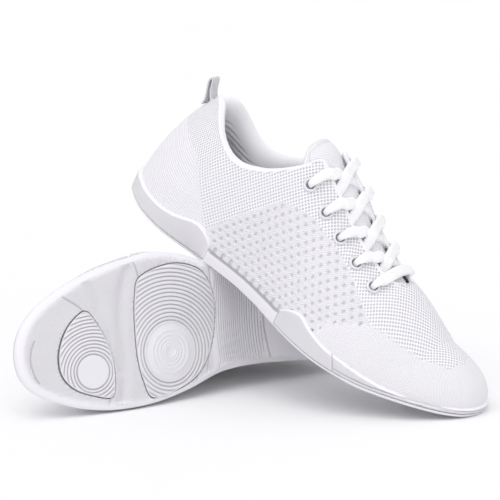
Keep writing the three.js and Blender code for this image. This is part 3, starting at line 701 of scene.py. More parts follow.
# ---- eyelets -------------------------------------------------------------------------------------
def upper_z(x, y, inset=UPPER_OUT):
    """Height of a layer of the wall over the instep, found by walking down from the ridge."""
    side = 1 if y > 0 else -1
    half = float(medial(angle_of(x)) if side > 0 else lateral(angle_of(x))) - inset
    turn = np.linspace(np.pi / 2, 0, 800)
    power = 2 / fullness(x, side > 0)
    reach = half * np.clip(np.cos(turn), 0, 1) ** power + (bulge_at(x) if side > 0 else 0) * np.sin(2 * turn)
    first = int(np.argmax(reach >= abs(y)))
    base = feather(x)
    return float(base + (ridge(x) - inset - base) * np.sin(turn[first]) ** power)


def upper_normal(x, y):
    slope_x = (upper_z(x + 1, y) - upper_z(x - 1, y)) / 2
    slope_y = (upper_z(x, y + 1) - upper_z(x, y - 1)) / 2
    return unit(np.array([-slope_x, -slope_y, 1.0]))


EYELETS = []
for eyelet_side in (-1, 1):
    for eyelet_row, eyelet_x in enumerate(EYELET_X, 1):
        eyelet_y = eyelet_side * EYELET_Y
        EYELETS.append({
            "side": eyelet_side, "row": eyelet_row, "normal": upper_normal(eyelet_x, eyelet_y),
            "at": np.array([eyelet_x, eyelet_y, upper_z(eyelet_x, eyelet_y)]),
        })


def eyelet_at(row, side):
    return next(e for e in EYELETS if e["row"] == row and e["side"] == side)


EYELET_PROFILE = [
    (2.75, -2.6), (2.7, -1.2), (2.72, 0.5), (2.9, 1.0), (3.3, 1.35), (3.8, 1.4), (4.25, 1.15), (4.5, 0.7),
    (4.45, 0.2), (4.1, 0.05), (3.2, 0.0), (3.15, -2.6), (2.75, -2.6),
]


def eyelet(shoe, place):
    """A metal ring with a rounded flange and a barrel down through the knit."""
    segments = 40
    normal = place["normal"]
    first = unit(np.cross(normal, [1.0, 0, 0]))
    second = np.cross(normal, first)
    turn = np.linspace(0, 2 * np.pi, segments, endpoint=False)
    spoke = np.cos(turn)[:, None] * first + np.sin(turn)[:, None] * second
    points = np.stack([place["at"] + r * spoke + h * normal for r, h in EYELET_PROFILE])
    side = "lateral" if place["side"] < 0 else "medial"
    name = f"{shoe.side}_{side}_eyelet_{place['row']}"
    faces = grid(len(EYELET_PROFILE), segments, wrap=True)
    made = add_mesh(f"{name}_ring", shoe, points.reshape(-1, 3), faces, EYELET)
    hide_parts(name)
    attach(made, shoe.body())


# ---- padded collar and lining --------------------------------------------------------------------
# Section of the padded collar: [inset, arc length below the upper's edge]; the rest of the lining follows.
PADDED = [
    (3.6, 3.5), (2.9, 1.2), (2.7, 0.1), (2.9, -0.9), (3.7, -1.9), (5.0, -2.6), (6.8, -2.8), (8.6, -2.3),
    (10.2, -1.2), (11.3, 0.5), (12.0, 2.8), (12.4, 5.5), (12.5, 9), (12.3, 13), (11.8, 17), (11.0, 21),
    (10.1, 25), (9.2, 29),
]
THIN_INSET, PAD_END_INSET, PAD_END_BELOW = 2.6, *PADDED[-1]
LINING_INSET, LEAST_INSET = 7.0, 5.9
COLLAR_FRONT_X, COLLAR_TURN_X = 101.5, 40


def collar(shoe):
    """The padded roll round the collar and the ribbed, softly creased lining below it."""
    one_side = angle_of(np.r_[COLLAR_FRONT_X, np.arange(100, COLLAR_TURN_X, -1.0)])
    half = np.r_[one_side, np.linspace(float(angle_of(COLLAR_TURN_X)), 0, 40)]
    theta = np.r_[half, 2 * np.pi - half[-2::-1]]
    columns = Columns(theta)
    taper = np.interp(loop_point(theta)[0], [60, 84, COLLAR_FRONT_X], [1, 0.8, 0.1])
    rows, depths = [], []

    def add_row(arc, inset, depth):
        rows.append(wall(theta, columns.turn(arc[None, :])[0], inset))
        depths.append(np.broadcast_to(depth, theta.shape))

    for inset, below in PADDED:
        over = below if below > 0 else below * taper
        add_row(columns.edge - over, THIN_INSET + (inset - THIN_INSET) * taper, over)
    for step in np.linspace(0, 1, 24)[1:]:
        arc = (columns.edge - PAD_END_BELOW) * (1 - step)
        inset = THIN_INSET + (PAD_END_INSET - THIN_INSET) * taper + 1.4 * (1 - taper)
        inset = inset + (LINING_INSET - PAD_END_INSET) * smooth(0, 0.5, step) * taper
        add_row(arc, np.maximum(inset, LEAST_INSET), columns.edge - arc)
    points, below = np.stack(rows), np.stack(depths)
    across = np.broadcast_to(run_along(points[8]), below.shape)
    folds = np.sin(across / 7.5 + 1.3 * np.sin(across / 31)) * np.sin(below / 9.0 + across / 17)
    inward = unit(wall(theta[None, :], 0.6, 12.0) - wall(theta[None, :], 0.6, 8.0))
    points = points + inward * (0.9 * folds * smooth(6, 14, below) * taper)[..., None]
    values = {"ribbed": smooth(6.5, 10.0, below).ravel()}
    uvs = {"Cloth": np.stack([across.ravel(), below.ravel()], -1)}
    faces = flip(grid(*points.shape[:2]))
    made = add_mesh(f"{shoe.side}_padded_collar", shoe, points.reshape(-1, 3), faces, LINING, uvs, values)
    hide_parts(f"{shoe.side}_collar_lining")
    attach(made, shoe.body())


# ---- tongue --------------------------------------------------------------------------------------
BORDER = 3.4


def tongue(shoe):
    """The padded tongue: crowned inside a stitched border, thin at its sides, rounded at the top."""
    x = (TONGUE_BACK + np.r_[0, 0.2, 0.6, 1.2, 2.0, 3.0, 4.2, np.arange(5.4, 94, 1.1)])[:, None]
    across = np.sin(np.linspace(-np.pi / 2, np.pi / 2, 61))
    from_top = np.clip((x - TONGUE_BACK) / 9.0, 0, 1)
    half = tongue_half(x) * (0.55 + 0.45 * np.sqrt(1 - (1 - from_top) ** 2))
    y = half * across
    body = np.sqrt(np.clip(1 - np.abs(across) ** 5, 0, 1)) * np.sqrt(np.clip(1 - (1 - from_top) ** 3, 0, 1))
    inside = np.minimum(half - np.abs(y), x - TONGUE_BACK)
    seam = smooth(0.9, 0.2, np.abs(inside - BORDER))
    crown = 0.9 * smooth(BORDER, 9, inside)
    middle = tongue_z(x) - y * y / TONGUE_DROP - TONGUE_THICK / 2
    top = middle + body * (TONGUE_THICK / 2 + 0.2 + crown - 0.7 * seam)
    top = top - 0.5 * (1 - smooth(0, 12, x - TONGUE_BACK))
    under = middle - body * (TONGUE_THICK / 2)
    spread = np.broadcast_to(x, y.shape)
    upper_side = np.stack([spread, y, top], -1)
    lower_side = np.stack([spread - TONGUE_THICK * 0.45 * body, y, under], -1)
    points = np.concatenate([upper_side, lower_side])
    rows, count = y.shape
    first = rows * count
    faces = flip(grid(rows, count)) + grid(rows, count, first=first)
    for r in range(rows - 1):
        for c in (0, count - 1):
            a, b = r * count + c, (r + 1) * count + c
            quad = (a, b, b + first, a + first)
            faces.append(quad if c else quad[::-1])
    faces += [(c, c + 1, first + c + 1, first + c) for c in range(count - 1)]
    uvs = {"Cloth": np.tile(np.stack([spread.ravel(), y.ravel()], -1), (2, 1))}
    values = {"seam": np.r_[seam.ravel(), np.zeros(first)]}
    made = add_mesh(f"{shoe.side}_soft_tongue", shoe, points.reshape(-1, 3), faces, TONGUE_KNIT, uvs, values)
    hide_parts(f"{shoe.side}_tongue")
    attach(made, shoe.body())


# ---- laces ---------------------------------------------------------------------------------------
STRAND = LACE_RADIUS + 2 * GAP
CROSSING_LIFT = 2 * LACE_RADIUS + GAP
SPAN, TIGHT = (3.55, 1.75), (1.85, 1.3)


def flattened(vector, normal, length):
    return unit(vector - normal * float(vector @ normal)) * length


def over_tongue(x, y, lift=0.0):
    slope = 2 * abs(y) / TONGUE_DROP
    point = np.array([x, y, float(tongue_z(x)) - y * y / TONGUE_DROP + STRAND * math.hypot(1, slope) + lift])
    return point, unit(np.array([0.55, 2 * y / TONGUE_DROP, 1.0]))


def over_upper(x, y):
    normal = upper_normal(x, y)
    return np.array([x, y, upper_z(x, y)]) + normal * (STRAND + 0.4), normal


def through_eyelet(place, start):
    """Down through an eyelet from outside: [point, outer side of the bend, size of the lace]."""
    at, normal = place["at"], place["normal"]
    arrive = flattened(start - at, normal, 3.4)
    leave = flattened(np.array([-1.2, -place["side"], 0.0]), normal, 2.0)
    away = -unit(arrive)
    return [
        [at + normal * 3.7 + arrive, normal * 0.8 + away * 0.2, (2.6, 1.5)],
        [at + normal * 1.5, away * 0.8 + normal * 0.5, TIGHT],
        [at - normal * 2.9, away, TIGHT],
        [at - normal * 4.8 + leave, -normal, (2.6, 1.3)],
    ]


def crossing(row, side, lift):
    """From an eyelet to the next one back on the other side, under the throat's edge and over the tongue."""
    start, end = EYELET_X[row - 1], EYELET_X[row - 2]
    edge, far_edge = float(throat_half(start - 2.5)), float(throat_half(end + 5))
    path = []
    for x, y in ((start - 1.8, min(edge + 4, 18)), (start - 2.4, edge + 1.3)):
        roof = upper_z(x, side * y, UPPER_IN)
        floor = float(tongue_z(x)) - y * y / TONGUE_DROP
        normal = -upper_normal(x, side * y)
        point = np.array([x, side * y, max((roof + floor) / 2 - 0.2, roof - 3.2)])
        path.append([point, normal, (2.8, 1.3)])

    def x_at(y):
        return end + 5 + (start - 8 - end) * (y + far_edge) / (far_edge + edge)

    inner = edge - 4.6
    for y in (inner, inner / 2, 0, -inner / 2):
        point, normal = over_tongue(x_at(y), side * y, lift if y < inner else lift / 8)
        path.append([point, -normal, SPAN])
    over_edge, edge_normal = over_upper(x_at(-far_edge), -side * far_edge)
    before, before_normal = over_tongue(x_at(4 - far_edge), side * (4 - far_edge))
    before[2] = max(before[2], over_edge[2] + 0.6)
    path.append([before, -before_normal, SPAN])
    path.append([over_edge, -edge_normal, SPAN])
    point, normal = over_upper(end + 2.5, -side * (far_edge + 3))
    path.append([point, -normal, SPAN])
    return path


def lace_half(side, start):
    """The lace from the front bar up one way: through every eyelet in turn, then its end tucked inside."""
    path, at, previous, sign = [], side, start, 1
    for row in range(len(EYELET_X), 1, -1):
        on_top = (row % 2 == 0) == (side > 0)
        run = through_eyelet(eyelet_at(row, at), previous) + crossing(row, at, CROSSING_LIFT if on_top else 0)
        path += [[p, sign * n, s] for p, n, s in run]
        previous = run[-1][0]
        at, sign = -at, -sign
    end = eyelet_at(1, at)
    path += [[p, sign * n, s] for p, n, s in through_eyelet(end, previous)]
    for ahead, drop in ((2, 11), (5, 22)):
        point = end["at"] + np.array([ahead, at * (EYELET_Y - 1.5) - end["at"][1], -drop])
        path.append([point, sign * np.array([0.0, -at, 0.0]), SPAN])
    return path


def lace_path():
    """The lace from one tucked end, over the bar across the front pair of eyelets, to the other end."""
    front = EYELET_X[-1]
    bars = []
    for side in (-1, 1):
        ends = ((front + 2, side * 11.8), (front + 1.2, side * 17.5))
        bars.append([[*over_upper(x, y), SPAN] for x, y in ends])
    top = max(bars[0][0][0][2] + 1, over_tongue(front + 2.5, 0)[0][2])
    middle = [np.array([front + 2.5, 0, top]), np.array([0.4, 0, 1.0]), SPAN]
    halves = [bars[i] + lace_half(side, bars[i][1][0]) for i, side in enumerate((-1, 1))]
    return halves[0][::-1] + [middle] + halves[1]


def spline(rows, steps):
    """A Catmull-Rom curve through rows of numbers, with the same number of steps between each two."""
    rows = np.asarray(rows, float)
    ends = np.concatenate([2 * rows[:1] - rows[1:2], rows, 2 * rows[-1:] - rows[-2:-1]])
    t = np.arange(steps)[:, None] / steps
    out = []
    for i in range(len(rows) - 1):
        a, b, c, d = ends[i:i + 4]
        square, cube = 2 * a - 5 * b + 4 * c - d, 3 * b - a - 3 * c + d
        out.append(0.5 * (2 * b + (c - a) * t + square * t * t + cube * t ** 3))
    return np.concatenate(out + [rows[-1:]])


LACE_STEPS, SMOOTHED = 9, 5


def lace(shoe):
    """The whole lace: a soft flat section along the path, with a shallow groove down its middle."""
    rows = spline([[*p, *n, *s] for p, n, s in lace_path()], LACE_STEPS)
    window = np.hanning(2 * SMOOTHED + 3)
    ends = [np.repeat(rows[:1], SMOOTHED, axis=0), rows, np.repeat(rows[-1:], SMOOTHED, axis=0)]
    padded, weights = np.concatenate(ends), window[1:-1] / window.sum()
    rows = np.stack([np.convolve(column, weights, mode="valid") for column in padded.T], -1)
    points, normals, sizes = rows[:, :3], rows[:, 3:6], rows[:, 6:8]
    tangent = unit(np.gradient(points, axis=0))
    normals = unit(normals - tangent * np.sum(normals * tangent, axis=1, keepdims=True))
    across = np.cross(tangent, normals)
    turn = np.linspace(0, 2 * np.pi, 28, endpoint=False)
    wide = np.sign(np.cos(turn)) * np.abs(np.cos(turn)) ** 0.8
    thick = np.sign(np.sin(turn)) * np.abs(np.sin(turn)) ** 0.75
    thick = thick * (1 - 0.1 * np.exp(-(np.abs(wide) / 0.25) ** 2))
    ring = across[:, None, :] * wide[None, :, None] * sizes[:, None, :1]
    ring = ring + normals[:, None, :] * thick[None, :, None] * sizes[:, None, 1:]
    mesh_points = (points[:, None, :] + ring).reshape(-1, 3)
    count = len(turn)
    faces = flip(grid(len(points), count, wrap=True))
    faces += [tuple(range(count)), tuple((len(points) - 1) * count + i for i in range(count))[::-1]]
    u = np.repeat(run_along(points)[:, None], count, axis=1)
    v = wide[None, :] * sizes[:, :1]
    uvs = {"Cloth": np.stack([u.ravel(), v.ravel()], -1)}
    made = add_mesh(f"{shoe.side}_flat_lace", shoe, mesh_points, faces, LACE, uvs)
    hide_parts(f"{shoe.side}_lace")
    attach(made, shoe.body())


# ---- pull tab ------------------------------------------------------------------------------------
TAB_PATH = [
    (13.1, 75), (13.6, 77), (13.7, 79.5), (13.2, 82), (12.4, 85), (11.5, 88.4), (11.2, 91), (11.9, 93),
    (13.1, 92.8), (13.8, 90.8), (14.3, 88.4), (15.1, 85.6), (16.3, 83.2), (17.8, 81.2),
]


def pull_tab(shoe):
    """The loop of tape, a little thicker along its two woven edges."""
    path = spline([(x, 0, z) for x, z in TAB_PATH], 6)
    normal = np.cross(unit(np.gradient(path, axis=0)), [0, 1.0, 0])
    across = np.linspace(-4, 4, 13)
    thickness = 0.45 + 0.12 * smooth(0.6, 0.0, np.abs(np.abs(across) - 3.3))
    flat = path[:, None, :] + np.array([0, 1, 0]) * across[None, :, None]
    raised = normal[:, None, :] * thickness[None, :, None]
    section = np.concatenate([flat + raised, (flat - raised)[:, ::-1]], axis=1)
    count = section.shape[1]
    faces = grid(len(path), count, wrap=True)
    faces += [tuple(range(count))[::-1], tuple((len(path) - 1) * count + i for i in range(count))]
    widths = np.r_[across, across[::-1]]
    uvs = {"Cloth": np.stack([np.repeat(run_along(path), count), np.tile(widths, len(path))], -1)}
    made = add_mesh(f"{shoe.side}_tape_loop", shoe, section.reshape(-1, 3), faces, TAPE, uvs, sharp=50)
    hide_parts(f"{shoe.side}_pull_tab")
    start, end = tuple(shoe.place((TAB_X, 0, 80.5))), tuple(shoe.place((TAB_X, 0, 87)))
    shoe.body()
    shoe.body("tab")
    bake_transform(made)


# ---- footbed -------------------------------------------------------------------------------------
def footbed(shoe):
    """The curved footbed, raised a little along its edge, with a short wall down all round."""
    phi = np.r_[np.linspace(0.08, 0.5, 12), np.linspace(0.55, 2.6, 60), np.linspace(2.65, np.pi - 0.08, 14)]
    share = np.linspace(0, 1, 33)
    low, high = np.stack(moved_in(phi, 7.9), -1), np.stack(moved_in(2 * np.pi - phi, 7.9), -1)
    flat = low[:, None, :] * (1 - share)[None, :, None] + high[:, None, :] * share[None, :, None]
    off = np.abs(2 * share - 1)
    lift = 2.2 * off ** 6 + np.where(off > 0.999, -3.0, 0.0)
    z = feather(flat[..., 0]) + 4.8 + lift
    points = np.concatenate([flat, z[..., None]], axis=-1)
    faces = flip(grid(*points.shape[:2]))
    uv = points.reshape(-1, 3)[:, :2]
    values = {"ribbed": np.full(len(uv), 0.15)}
    made = add_mesh(f"{shoe.side}_footbed", shoe, points.reshape(-1, 3), faces, LINING, {"Cloth": uv}, values)
    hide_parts(f"{shoe.side}_sockliner")
    bends(made, shoe)


# ---- sole ----------------------------------------------------------------------------------------
BALL_PAD = [
    [183, -35], [169, -40.5], [153, -41.5], [138, -36], [130.5, -24], [129.5, -8], [134, 12], [144, 27],
    [160, 35], [178, 38], [184, 28], [187.5, 12], [188, -10], [186.5, -26],
]
TOE_PAD = [
    [221, -18], [230, -12], [236, -3], [239, 8], [237.5, 19], [230, 27.5], [218, 32.5], [207, 34.5],
    [204.5, 26], [205, 12], [209, -1], [215, -12],
]
HEEL_PAD = [[8, 0], [14, -15], [30, -21.5], [48, -20], [60, -9], [62, 4], [54, 15], [38, 19], [20, 16.5]]
PADS = {
    "ball": {"outline": BALL_PAD, "centre": (164, 11.4), "button": 19.0, "pitch": 2.45,
             "rings": (3.9, 5.6, 7.6, 10.2, 12.9), "springs": False},
    "toe": {"outline": TOE_PAD, "centre": (218, 18.3), "button": 10.4, "pitch": 2.1,
            "rings": (), "springs": True},
    "heel": {"outline": HEEL_PAD, "centre": (36, 0), "button": 9.5, "pitch": 2.3,
             "rings": (3.4, 5.6), "springs": False},
}
CUP_LOW, FOXING_LOW = 2.5, 2.4
CUP_END, FOXING_START = 73.0, 137.5
PLATE_DEPTH = 2.3
POCKET_GAP, POCKET_DEPTH = 0.75, 1.9
RIBS_START = 0.45
PAD_FACE_Z, PAD_ROOT_Z = -0.7, 1.3


def closed_curve(points, count):
    """Evenly spaced points on the smooth closed curve through the given ones."""
    rows = np.array(points, float)
    rows = np.concatenate([rows[-2:], rows, rows[:3]])
    dense = spline(rows, 40)[80:-80]
    ran = run_along(dense)
    at = np.linspace(0, ran[-1], count, endpoint=False)
    return np.stack([np.interp(at, ran, dense[:, 0]), np.interp(at, ran, dense[:, 1])], -1)


def rand_bottom(x):
    return np.interp(x, [190, 206, 300], [2.6, 4.2, 19.5])


def plate_bottom(x):
    return np.where(x < 105, CUP_LOW, np.where(x < FLEX_X, FOXING_LOW, rand_bottom(x)))


def polyline_distance(x, y, points):
    """Distance of each (x, y) from the nearest segment of an open line."""
    best = np.full(np.shape(x), 1e9)
    for (ax, ay), (bx, by) in zip(points[:-1], points[1:]):
        dx, dy = bx - ax, by - ay
        t = np.clip(((x - ax) * dx + (y - ay) * dy) / (dx * dx + dy * dy), 0, 1)
        best = np.minimum(best, np.hypot(x - ax - t * dx, y - ay - t * dy))
    return best


def curve(points, steps=12):
    return spline(np.array(points, float), steps)


VALLEY_A = curve([(187, -50), (191, -40), (196, -24), (197.5, -6), (196, 13), (197, 28), (203, 46)])
VALLEY_B = curve([(219, -36), (214, -27), (208.5, -8), (203.5, 6), (199, 20)])
GROOVES = [
    curve([(221, -18), (226, -22.5), (235, -28.5)]), curve([(207, 34.5), (209, 39), (212, 45)]),
    curve([(183, -35), (184.5, -41), (187, -49)]), curve([(178, 38), (179.5, 42), (181, 46)]),
    curve([(253, -3), (255.5, 3), (256, 10), (254, 18), (251.5, 22)]),
    curve([(85, -34), (88, -18), (88.5, 0), (87, 14), (84, 30)]),
    curve([(131, -42), (130.5, -30), (130.4, -24)]), curve([(134, 12), (136, 22), (138, 34)]),
]


def sole_relief(x, y):
    """How far the underside is pressed in (negative), where painted shade darkens it, and where it is grooved.
    """
    valley = -1.7 * np.exp(-(polyline_distance(x, y, VALLEY_A) / 3.6) ** 2)
    valley -= 1.5 * np.exp(-(polyline_distance(x, y, VALLEY_B) / 2.4) ** 2)
    groove = np.zeros(np.shape(x))
    for points in GROOVES:
        groove = np.maximum(groove, smooth(0.75, 0.15, polyline_distance(x, y, points)))
    arch = smooth(88.5, 90, x) * smooth(128.5, 127, x - 0.0006 * y * y)
    bow = x + 0.0035 * y * y
    ribs = smooth(-0.1, -0.75, np.cos(2 * np.pi * bow / 1.95)) * arch
    return valley - 0.9 * groove - 0.75 * ribs, np.maximum(groove, 0.8 * ribs), groove


def inside(points, outline):
    """Which points lie within a closed outline."""
    x, y = points[:, 0], points[:, 1]
    result = np.zeros(len(points), bool)
    for (ax, ay), (bx, by) in zip(outline, np.roll(outline, -1, axis=0)):
        crosses = (ay > y) != (by > y)
        with np.errstate(divide="ignore", invalid="ignore"):
            at = (bx - ax) * (y - ay) / (by - ay) + ax
        result ^= crosses & (x < at)
    return result


def pocket_outline(facts, count):
    """The edge of a pad's pocket, a little outside the pad's own outline."""
    outline = closed_curve(facts["outline"], count)
    step = np.roll(outline, -1, axis=0) - np.roll(outline, 1, axis=0)
    normal = unit(np.stack([step[:, 1], -step[:, 0]], -1))
    if np.cross(outline[0] - outline.mean(axis=0), step[0]) < 0:
        normal = -normal
    return outline + normal * POCKET_GAP


def near_groove(points, reach):
    return np.min([polyline_distance(points[:, 0], points[:, 1], g) for g in GROOVES], axis=0) < reach


def underside_points(theta, pockets):
    """Points over the underside: coarse, in rows along the ribs of the arch, and fine by the grooves."""
    x, y = np.meshgrid(np.arange(-6, 264, 1.7), np.arange(-50, 48, 1.7), indexing="ij")
    coarse = np.stack([x.ravel(), (y + 0.85 * (np.arange(x.shape[0]) % 2)[:, None]).ravel()], -1)
    x, y = np.meshgrid(np.arange(86, 131, 0.325), np.arange(-46, 44, 2.4), indexing="ij")
    arch = np.stack([(x - 0.0035 * y * y).ravel(), y.ravel()], -1)
    x, y = np.meshgrid(np.arange(80, 262, 0.55), np.arange(-50, 48, 0.55), indexing="ij")
    fine = np.stack([x.ravel(), y.ravel()], -1)
    in_arch = (coarse[:, 0] > 85.5) & (coarse[:, 0] < 131.5)
    coarse, arch = coarse[~(in_arch | near_groove(coarse, 1.6))], arch[~near_groove(arch, 1.5)]
    points = np.concatenate([coarse, arch, fine[near_groove(fine, 1.4)]])
    keep = inside(points, np.stack(moved_in(theta, 3.6), -1))
    for pocket in pockets:
        centre = pocket.mean(axis=0)
        offset = pocket - centre
        grown = centre + offset * (1 + 0.4 / np.linalg.norm(offset, axis=1, keepdims=True))
        keep &= ~inside(points, grown)
    return points[keep]


def underside(rim, theta, pockets):
    """Triangles between the rim and the pockets, facing down."""
    loops = [rim] + pockets
    corners = [Vector(p) for p in np.concatenate(loops + [underside_points(theta, pockets)])]
    edges, first = [], 0
    for loop in loops:
        edges += [(first + i, first + (i + 1) % len(loop)) for i in range(len(loop))]
        first += len(loop)
    flat, _, triangles, *_ = delaunay_2d_cdt(corners, edges, [], 0, 1e-5)
    flat = np.array([tuple(p) for p in flat])
    triangles = np.array([t for t in triangles if len(t) == 3])
    middle = flat[triangles].mean(axis=1)
    wanted = inside(middle, rim)
    for pocket in pockets:
        wanted &= ~inside(middle, pocket)
    triangles = triangles[wanted]
    spun = flat[triangles]
    turned = np.cross(spun[:, 1] - spun[:, 0], spun[:, 2] - spun[:, 0]) > 0
    triangles[turned] = triangles[turned][:, ::-1]
    return flat, triangles


def sole(shoe):
    """The whole sole: a sculpted underside with pockets for the pads, and its side up to the upper."""
    marks = angle_of([CUP_END - 0.01, CUP_END + 0.3, FOXING_START - 0.3, FOXING_START + 0.01])
    one_side = np.unique(np.round(np.r_[np.linspace(0, np.pi, 230), marks], 6))
    theta = np.r_[one_side, 2 * np.pi - one_side[-2:0:-1]]
    lx = loop_point(theta)[0]
    plated = ((lx < CUP_END + 0.2) | (lx > FOXING_START - 0.2)).astype(float)
    bare = bare_side(lx)
    rows = []
    low = tread_z(moved_in(theta, 3.0)[0])
    for share in (0, 0.04, 0.1, 0.2, 0.33, 0.5, 0.7, 0.88, 1.0):
        x, y = moved_in(theta, 3.0 * (1 - share) ** 2.4)
        rows.append(np.stack([x, y, low + (plate_bottom(x) - GAP - low) * share], -1))
    top = feather(lx) - 2.4 * bare
    steps = ((0.0, 0.0), (0.25, 0.0), (0.6, 0.0), (0.86, 0.0), (0.94, 0.3), (1.0, 1.1), (1.0, 4.5))
    for share, extra in steps:
        x, y = moved_in(theta, plated * PLATE_DEPTH + extra)
        low = plate_bottom(x) - GAP
        rows.append(np.stack([x, y, low + (top - low) * share], -1))
    side_points = np.stack(rows)
    total_rows, count = side_points.shape[:2]
    start = total_rows * count

    rim = side_points[0][:, :2]
    pockets = [pocket_outline(facts, 240 if key == "ball" else 150) for key, facts in PADS.items()]
    flat, triangles = underside(rim, theta, pockets)
    relief, hollow_shade, groove = sole_relief(flat[:, 0], flat[:, 1])
    to_rim = np.hypot(flat[:, 0][:, None] - rim[::2, 0], flat[:, 1][:, None] - rim[::2, 1]).min(axis=1)
    edge_fade = smooth(0, 3, to_rim)
    under = np.concatenate([flat, (tread_z(flat[:, 0]) - relief * edge_fade)[:, None]], axis=1)
    points = np.concatenate([side_points.reshape(-1, 3), under])
    faces = grid(total_rows, count, wrap=True) + [tuple(int(v) + start for v in t) for t in triangles]
    # Painted shade on the bare side between heel cup and foxing: dark in the top rows under the upper, a little
    # darker below.
    side_painted_shade = np.zeros((total_rows, count))
    side_painted_shade[-3:] = 1.7 * bare
    side_painted_shade[:-3] = 0.22 * bare
    hollow_shade = np.r_[side_painted_shade.ravel(), hollow_shade * edge_fade]
    hatch = np.r_[np.zeros(start), (1 - groove) * edge_fade * smooth(130, 134, flat[:, 0])]

    for pocket in pockets:
        z_top = tread_z(pocket[:, 0]) - sole_relief(pocket[:, 0], pocket[:, 1])[0]
        centre = pocket.mean(axis=0)
        shrunk = centre + (pocket - centre) * 0.9
        walls = [
            np.concatenate([loop, (z_top + drop)[:, None]], axis=1)
            for loop, drop in ((pocket, 0.0), (pocket, POCKET_DEPTH), (shrunk, POCKET_DEPTH))
        ]
        band = grid(3, len(pocket), wrap=True, first=len(points))
        clockwise = np.cross(pocket[1] - pocket[0], centre - pocket[0]) > 0
        faces += band if clockwise else flip(band)
        points = np.concatenate([points, *walls])
        # Painted shade down the walls of each pad's pocket.
        hollow_shade = np.r_[hollow_shade, np.ones(3 * len(pocket))]
        hatch = np.r_[hatch, np.zeros(3 * len(pocket))]
    uvs = {"Mould": points[:, :2] + np.array([0, 1.0]) * points[:, 2:3]}
    values = {"hollow_shade": hollow_shade, "hatch": hatch}
    made = add_mesh(f"{shoe.side}_outsole", shoe, points, faces, SOLE, uvs, values, weld=True, sharp=38)
    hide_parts(f"{shoe.side}_rear_sole", f"{shoe.side}_toe_sole")
    bends(made, shoe)


def pad_height(r, facts):
    """How far a pad stands out at a distance from its centre, and how deep a groove is there."""
    button, pitch = facts["button"], facts["pitch"]
    rings = np.zeros(np.shape(r))
    for ring in facts["rings"]:
        rings = np.maximum(rings, smooth(0.6, 0.1, np.abs(r - ring)))
    edge_groove = smooth(0.55, 0.2, np.abs(r - button - 0.1))
    second = smooth(0.5, 0.1, np.abs(r - button + 1.7)) * (0.6 if facts["rings"] else 0.0)
    phase = np.mod(r - button - RIBS_START, pitch) / pitch
    rib = np.where(r > button + RIBS_START, smooth(0.5, 0.74, phase) * smooth(1.02, 0.84, phase), 0)
    dip = np.maximum(np.maximum(edge_groove, 0.45 * second), 0.9 * rib)
    return 0.35 * rings - 1.0 * dip, dip


def pad_radii(facts, limit):
    """Where the rows of a pad's mesh lie, close together at each ring, groove and rib."""
    button, pitch = facts["button"], facts["pitch"]
    radii = [0.0]
    for ring in facts["rings"]:
        radii += [ring + d for d in (-0.65, -0.3, 0, 0.3, 0.65)]
    radii += [button - d for d in (2.6, 1.9, 1.5, 1.0, 0.55, 0.3, 0, -RIBS_START)]
    rib = button + RIBS_START
    while rib < limit:
        radii += [rib + f * pitch for f in (0.25, 0.45, 0.62, 0.74, 0.84, 1)]
        rib += pitch
    return np.array(sorted(radii))


def pad(shoe, key):
    """A tread pad: round ribs about an off-centre button, with a wall down into its pocket."""
    facts = PADS[key]
    centre = np.array(facts["centre"], float)
    offset = closed_curve(facts["outline"], 720) - centre
    bearing = np.mod(np.arctan2(offset[:, 1], offset[:, 0]), 2 * np.pi)
    order = np.argsort(bearing)
    turn = np.linspace(0, 2 * np.pi, 300, endpoint=False)
    distance = np.hypot(offset[:, 0], offset[:, 1])
    limit = np.interp(turn, bearing[order], distance[order], period=2 * np.pi)
    radii = pad_radii(facts, limit.max())
    edge_rows = limit[None, :] - np.array([1.1, 0.8, 0.5, 0.25, 0.08, 0.0])[:, None]
    reach = np.concatenate([np.minimum(radii[:, None], limit[None, :] - 1.4), edge_rows])
    raised, dip = pad_height(reach, facts)
    border = smooth(0.0, 1.3, limit[None, :] - reach)
    raised = raised * border - 0.35 * (1 - border)
    x, y = centre[0] + reach * np.cos(turn), centre[1] + reach * np.sin(turn)
    surface = np.stack([x, y, PAD_FACE_Z - raised], -1)
    wall_row = surface[-1:].copy()
    wall_row[..., 2] = PAD_ROOT_Z
    points = np.concatenate([surface, wall_row]).reshape(-1, 3)
    if facts["springs"]:
        hinge_x, angle = FLEX_X + 10, math.atan(TOE_SPRING)
        ahead, up = points[:, 0] - hinge_x, points[:, 2].copy()
        points[:, 0] = hinge_x + ahead * math.cos(angle) - up * math.sin(angle)
        points[:, 2] = ahead * math.sin(angle) + up * math.cos(angle)
    count = len(turn)
    faces = flip(grid(len(surface) + 1, count, wrap=True))
    uvs = {"Mould": points[:, :2]}
    # Painted shade in the pad's grooves and on its wall down into the pocket.
    values = {"hollow_shade": np.r_[(dip * border).ravel(), np.full(count, 1.0)], "hatch": np.zeros(len(points))}
    made = add_mesh(f"{shoe.side}_{key}_tread", shoe, points, faces, RUBBER, uvs, values, weld=True, sharp=60)
    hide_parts(f"{shoe.side}_{key}_pad")
    if key == "heel":
        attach(made, shoe.body())
    else:
        bends(made, shoe)


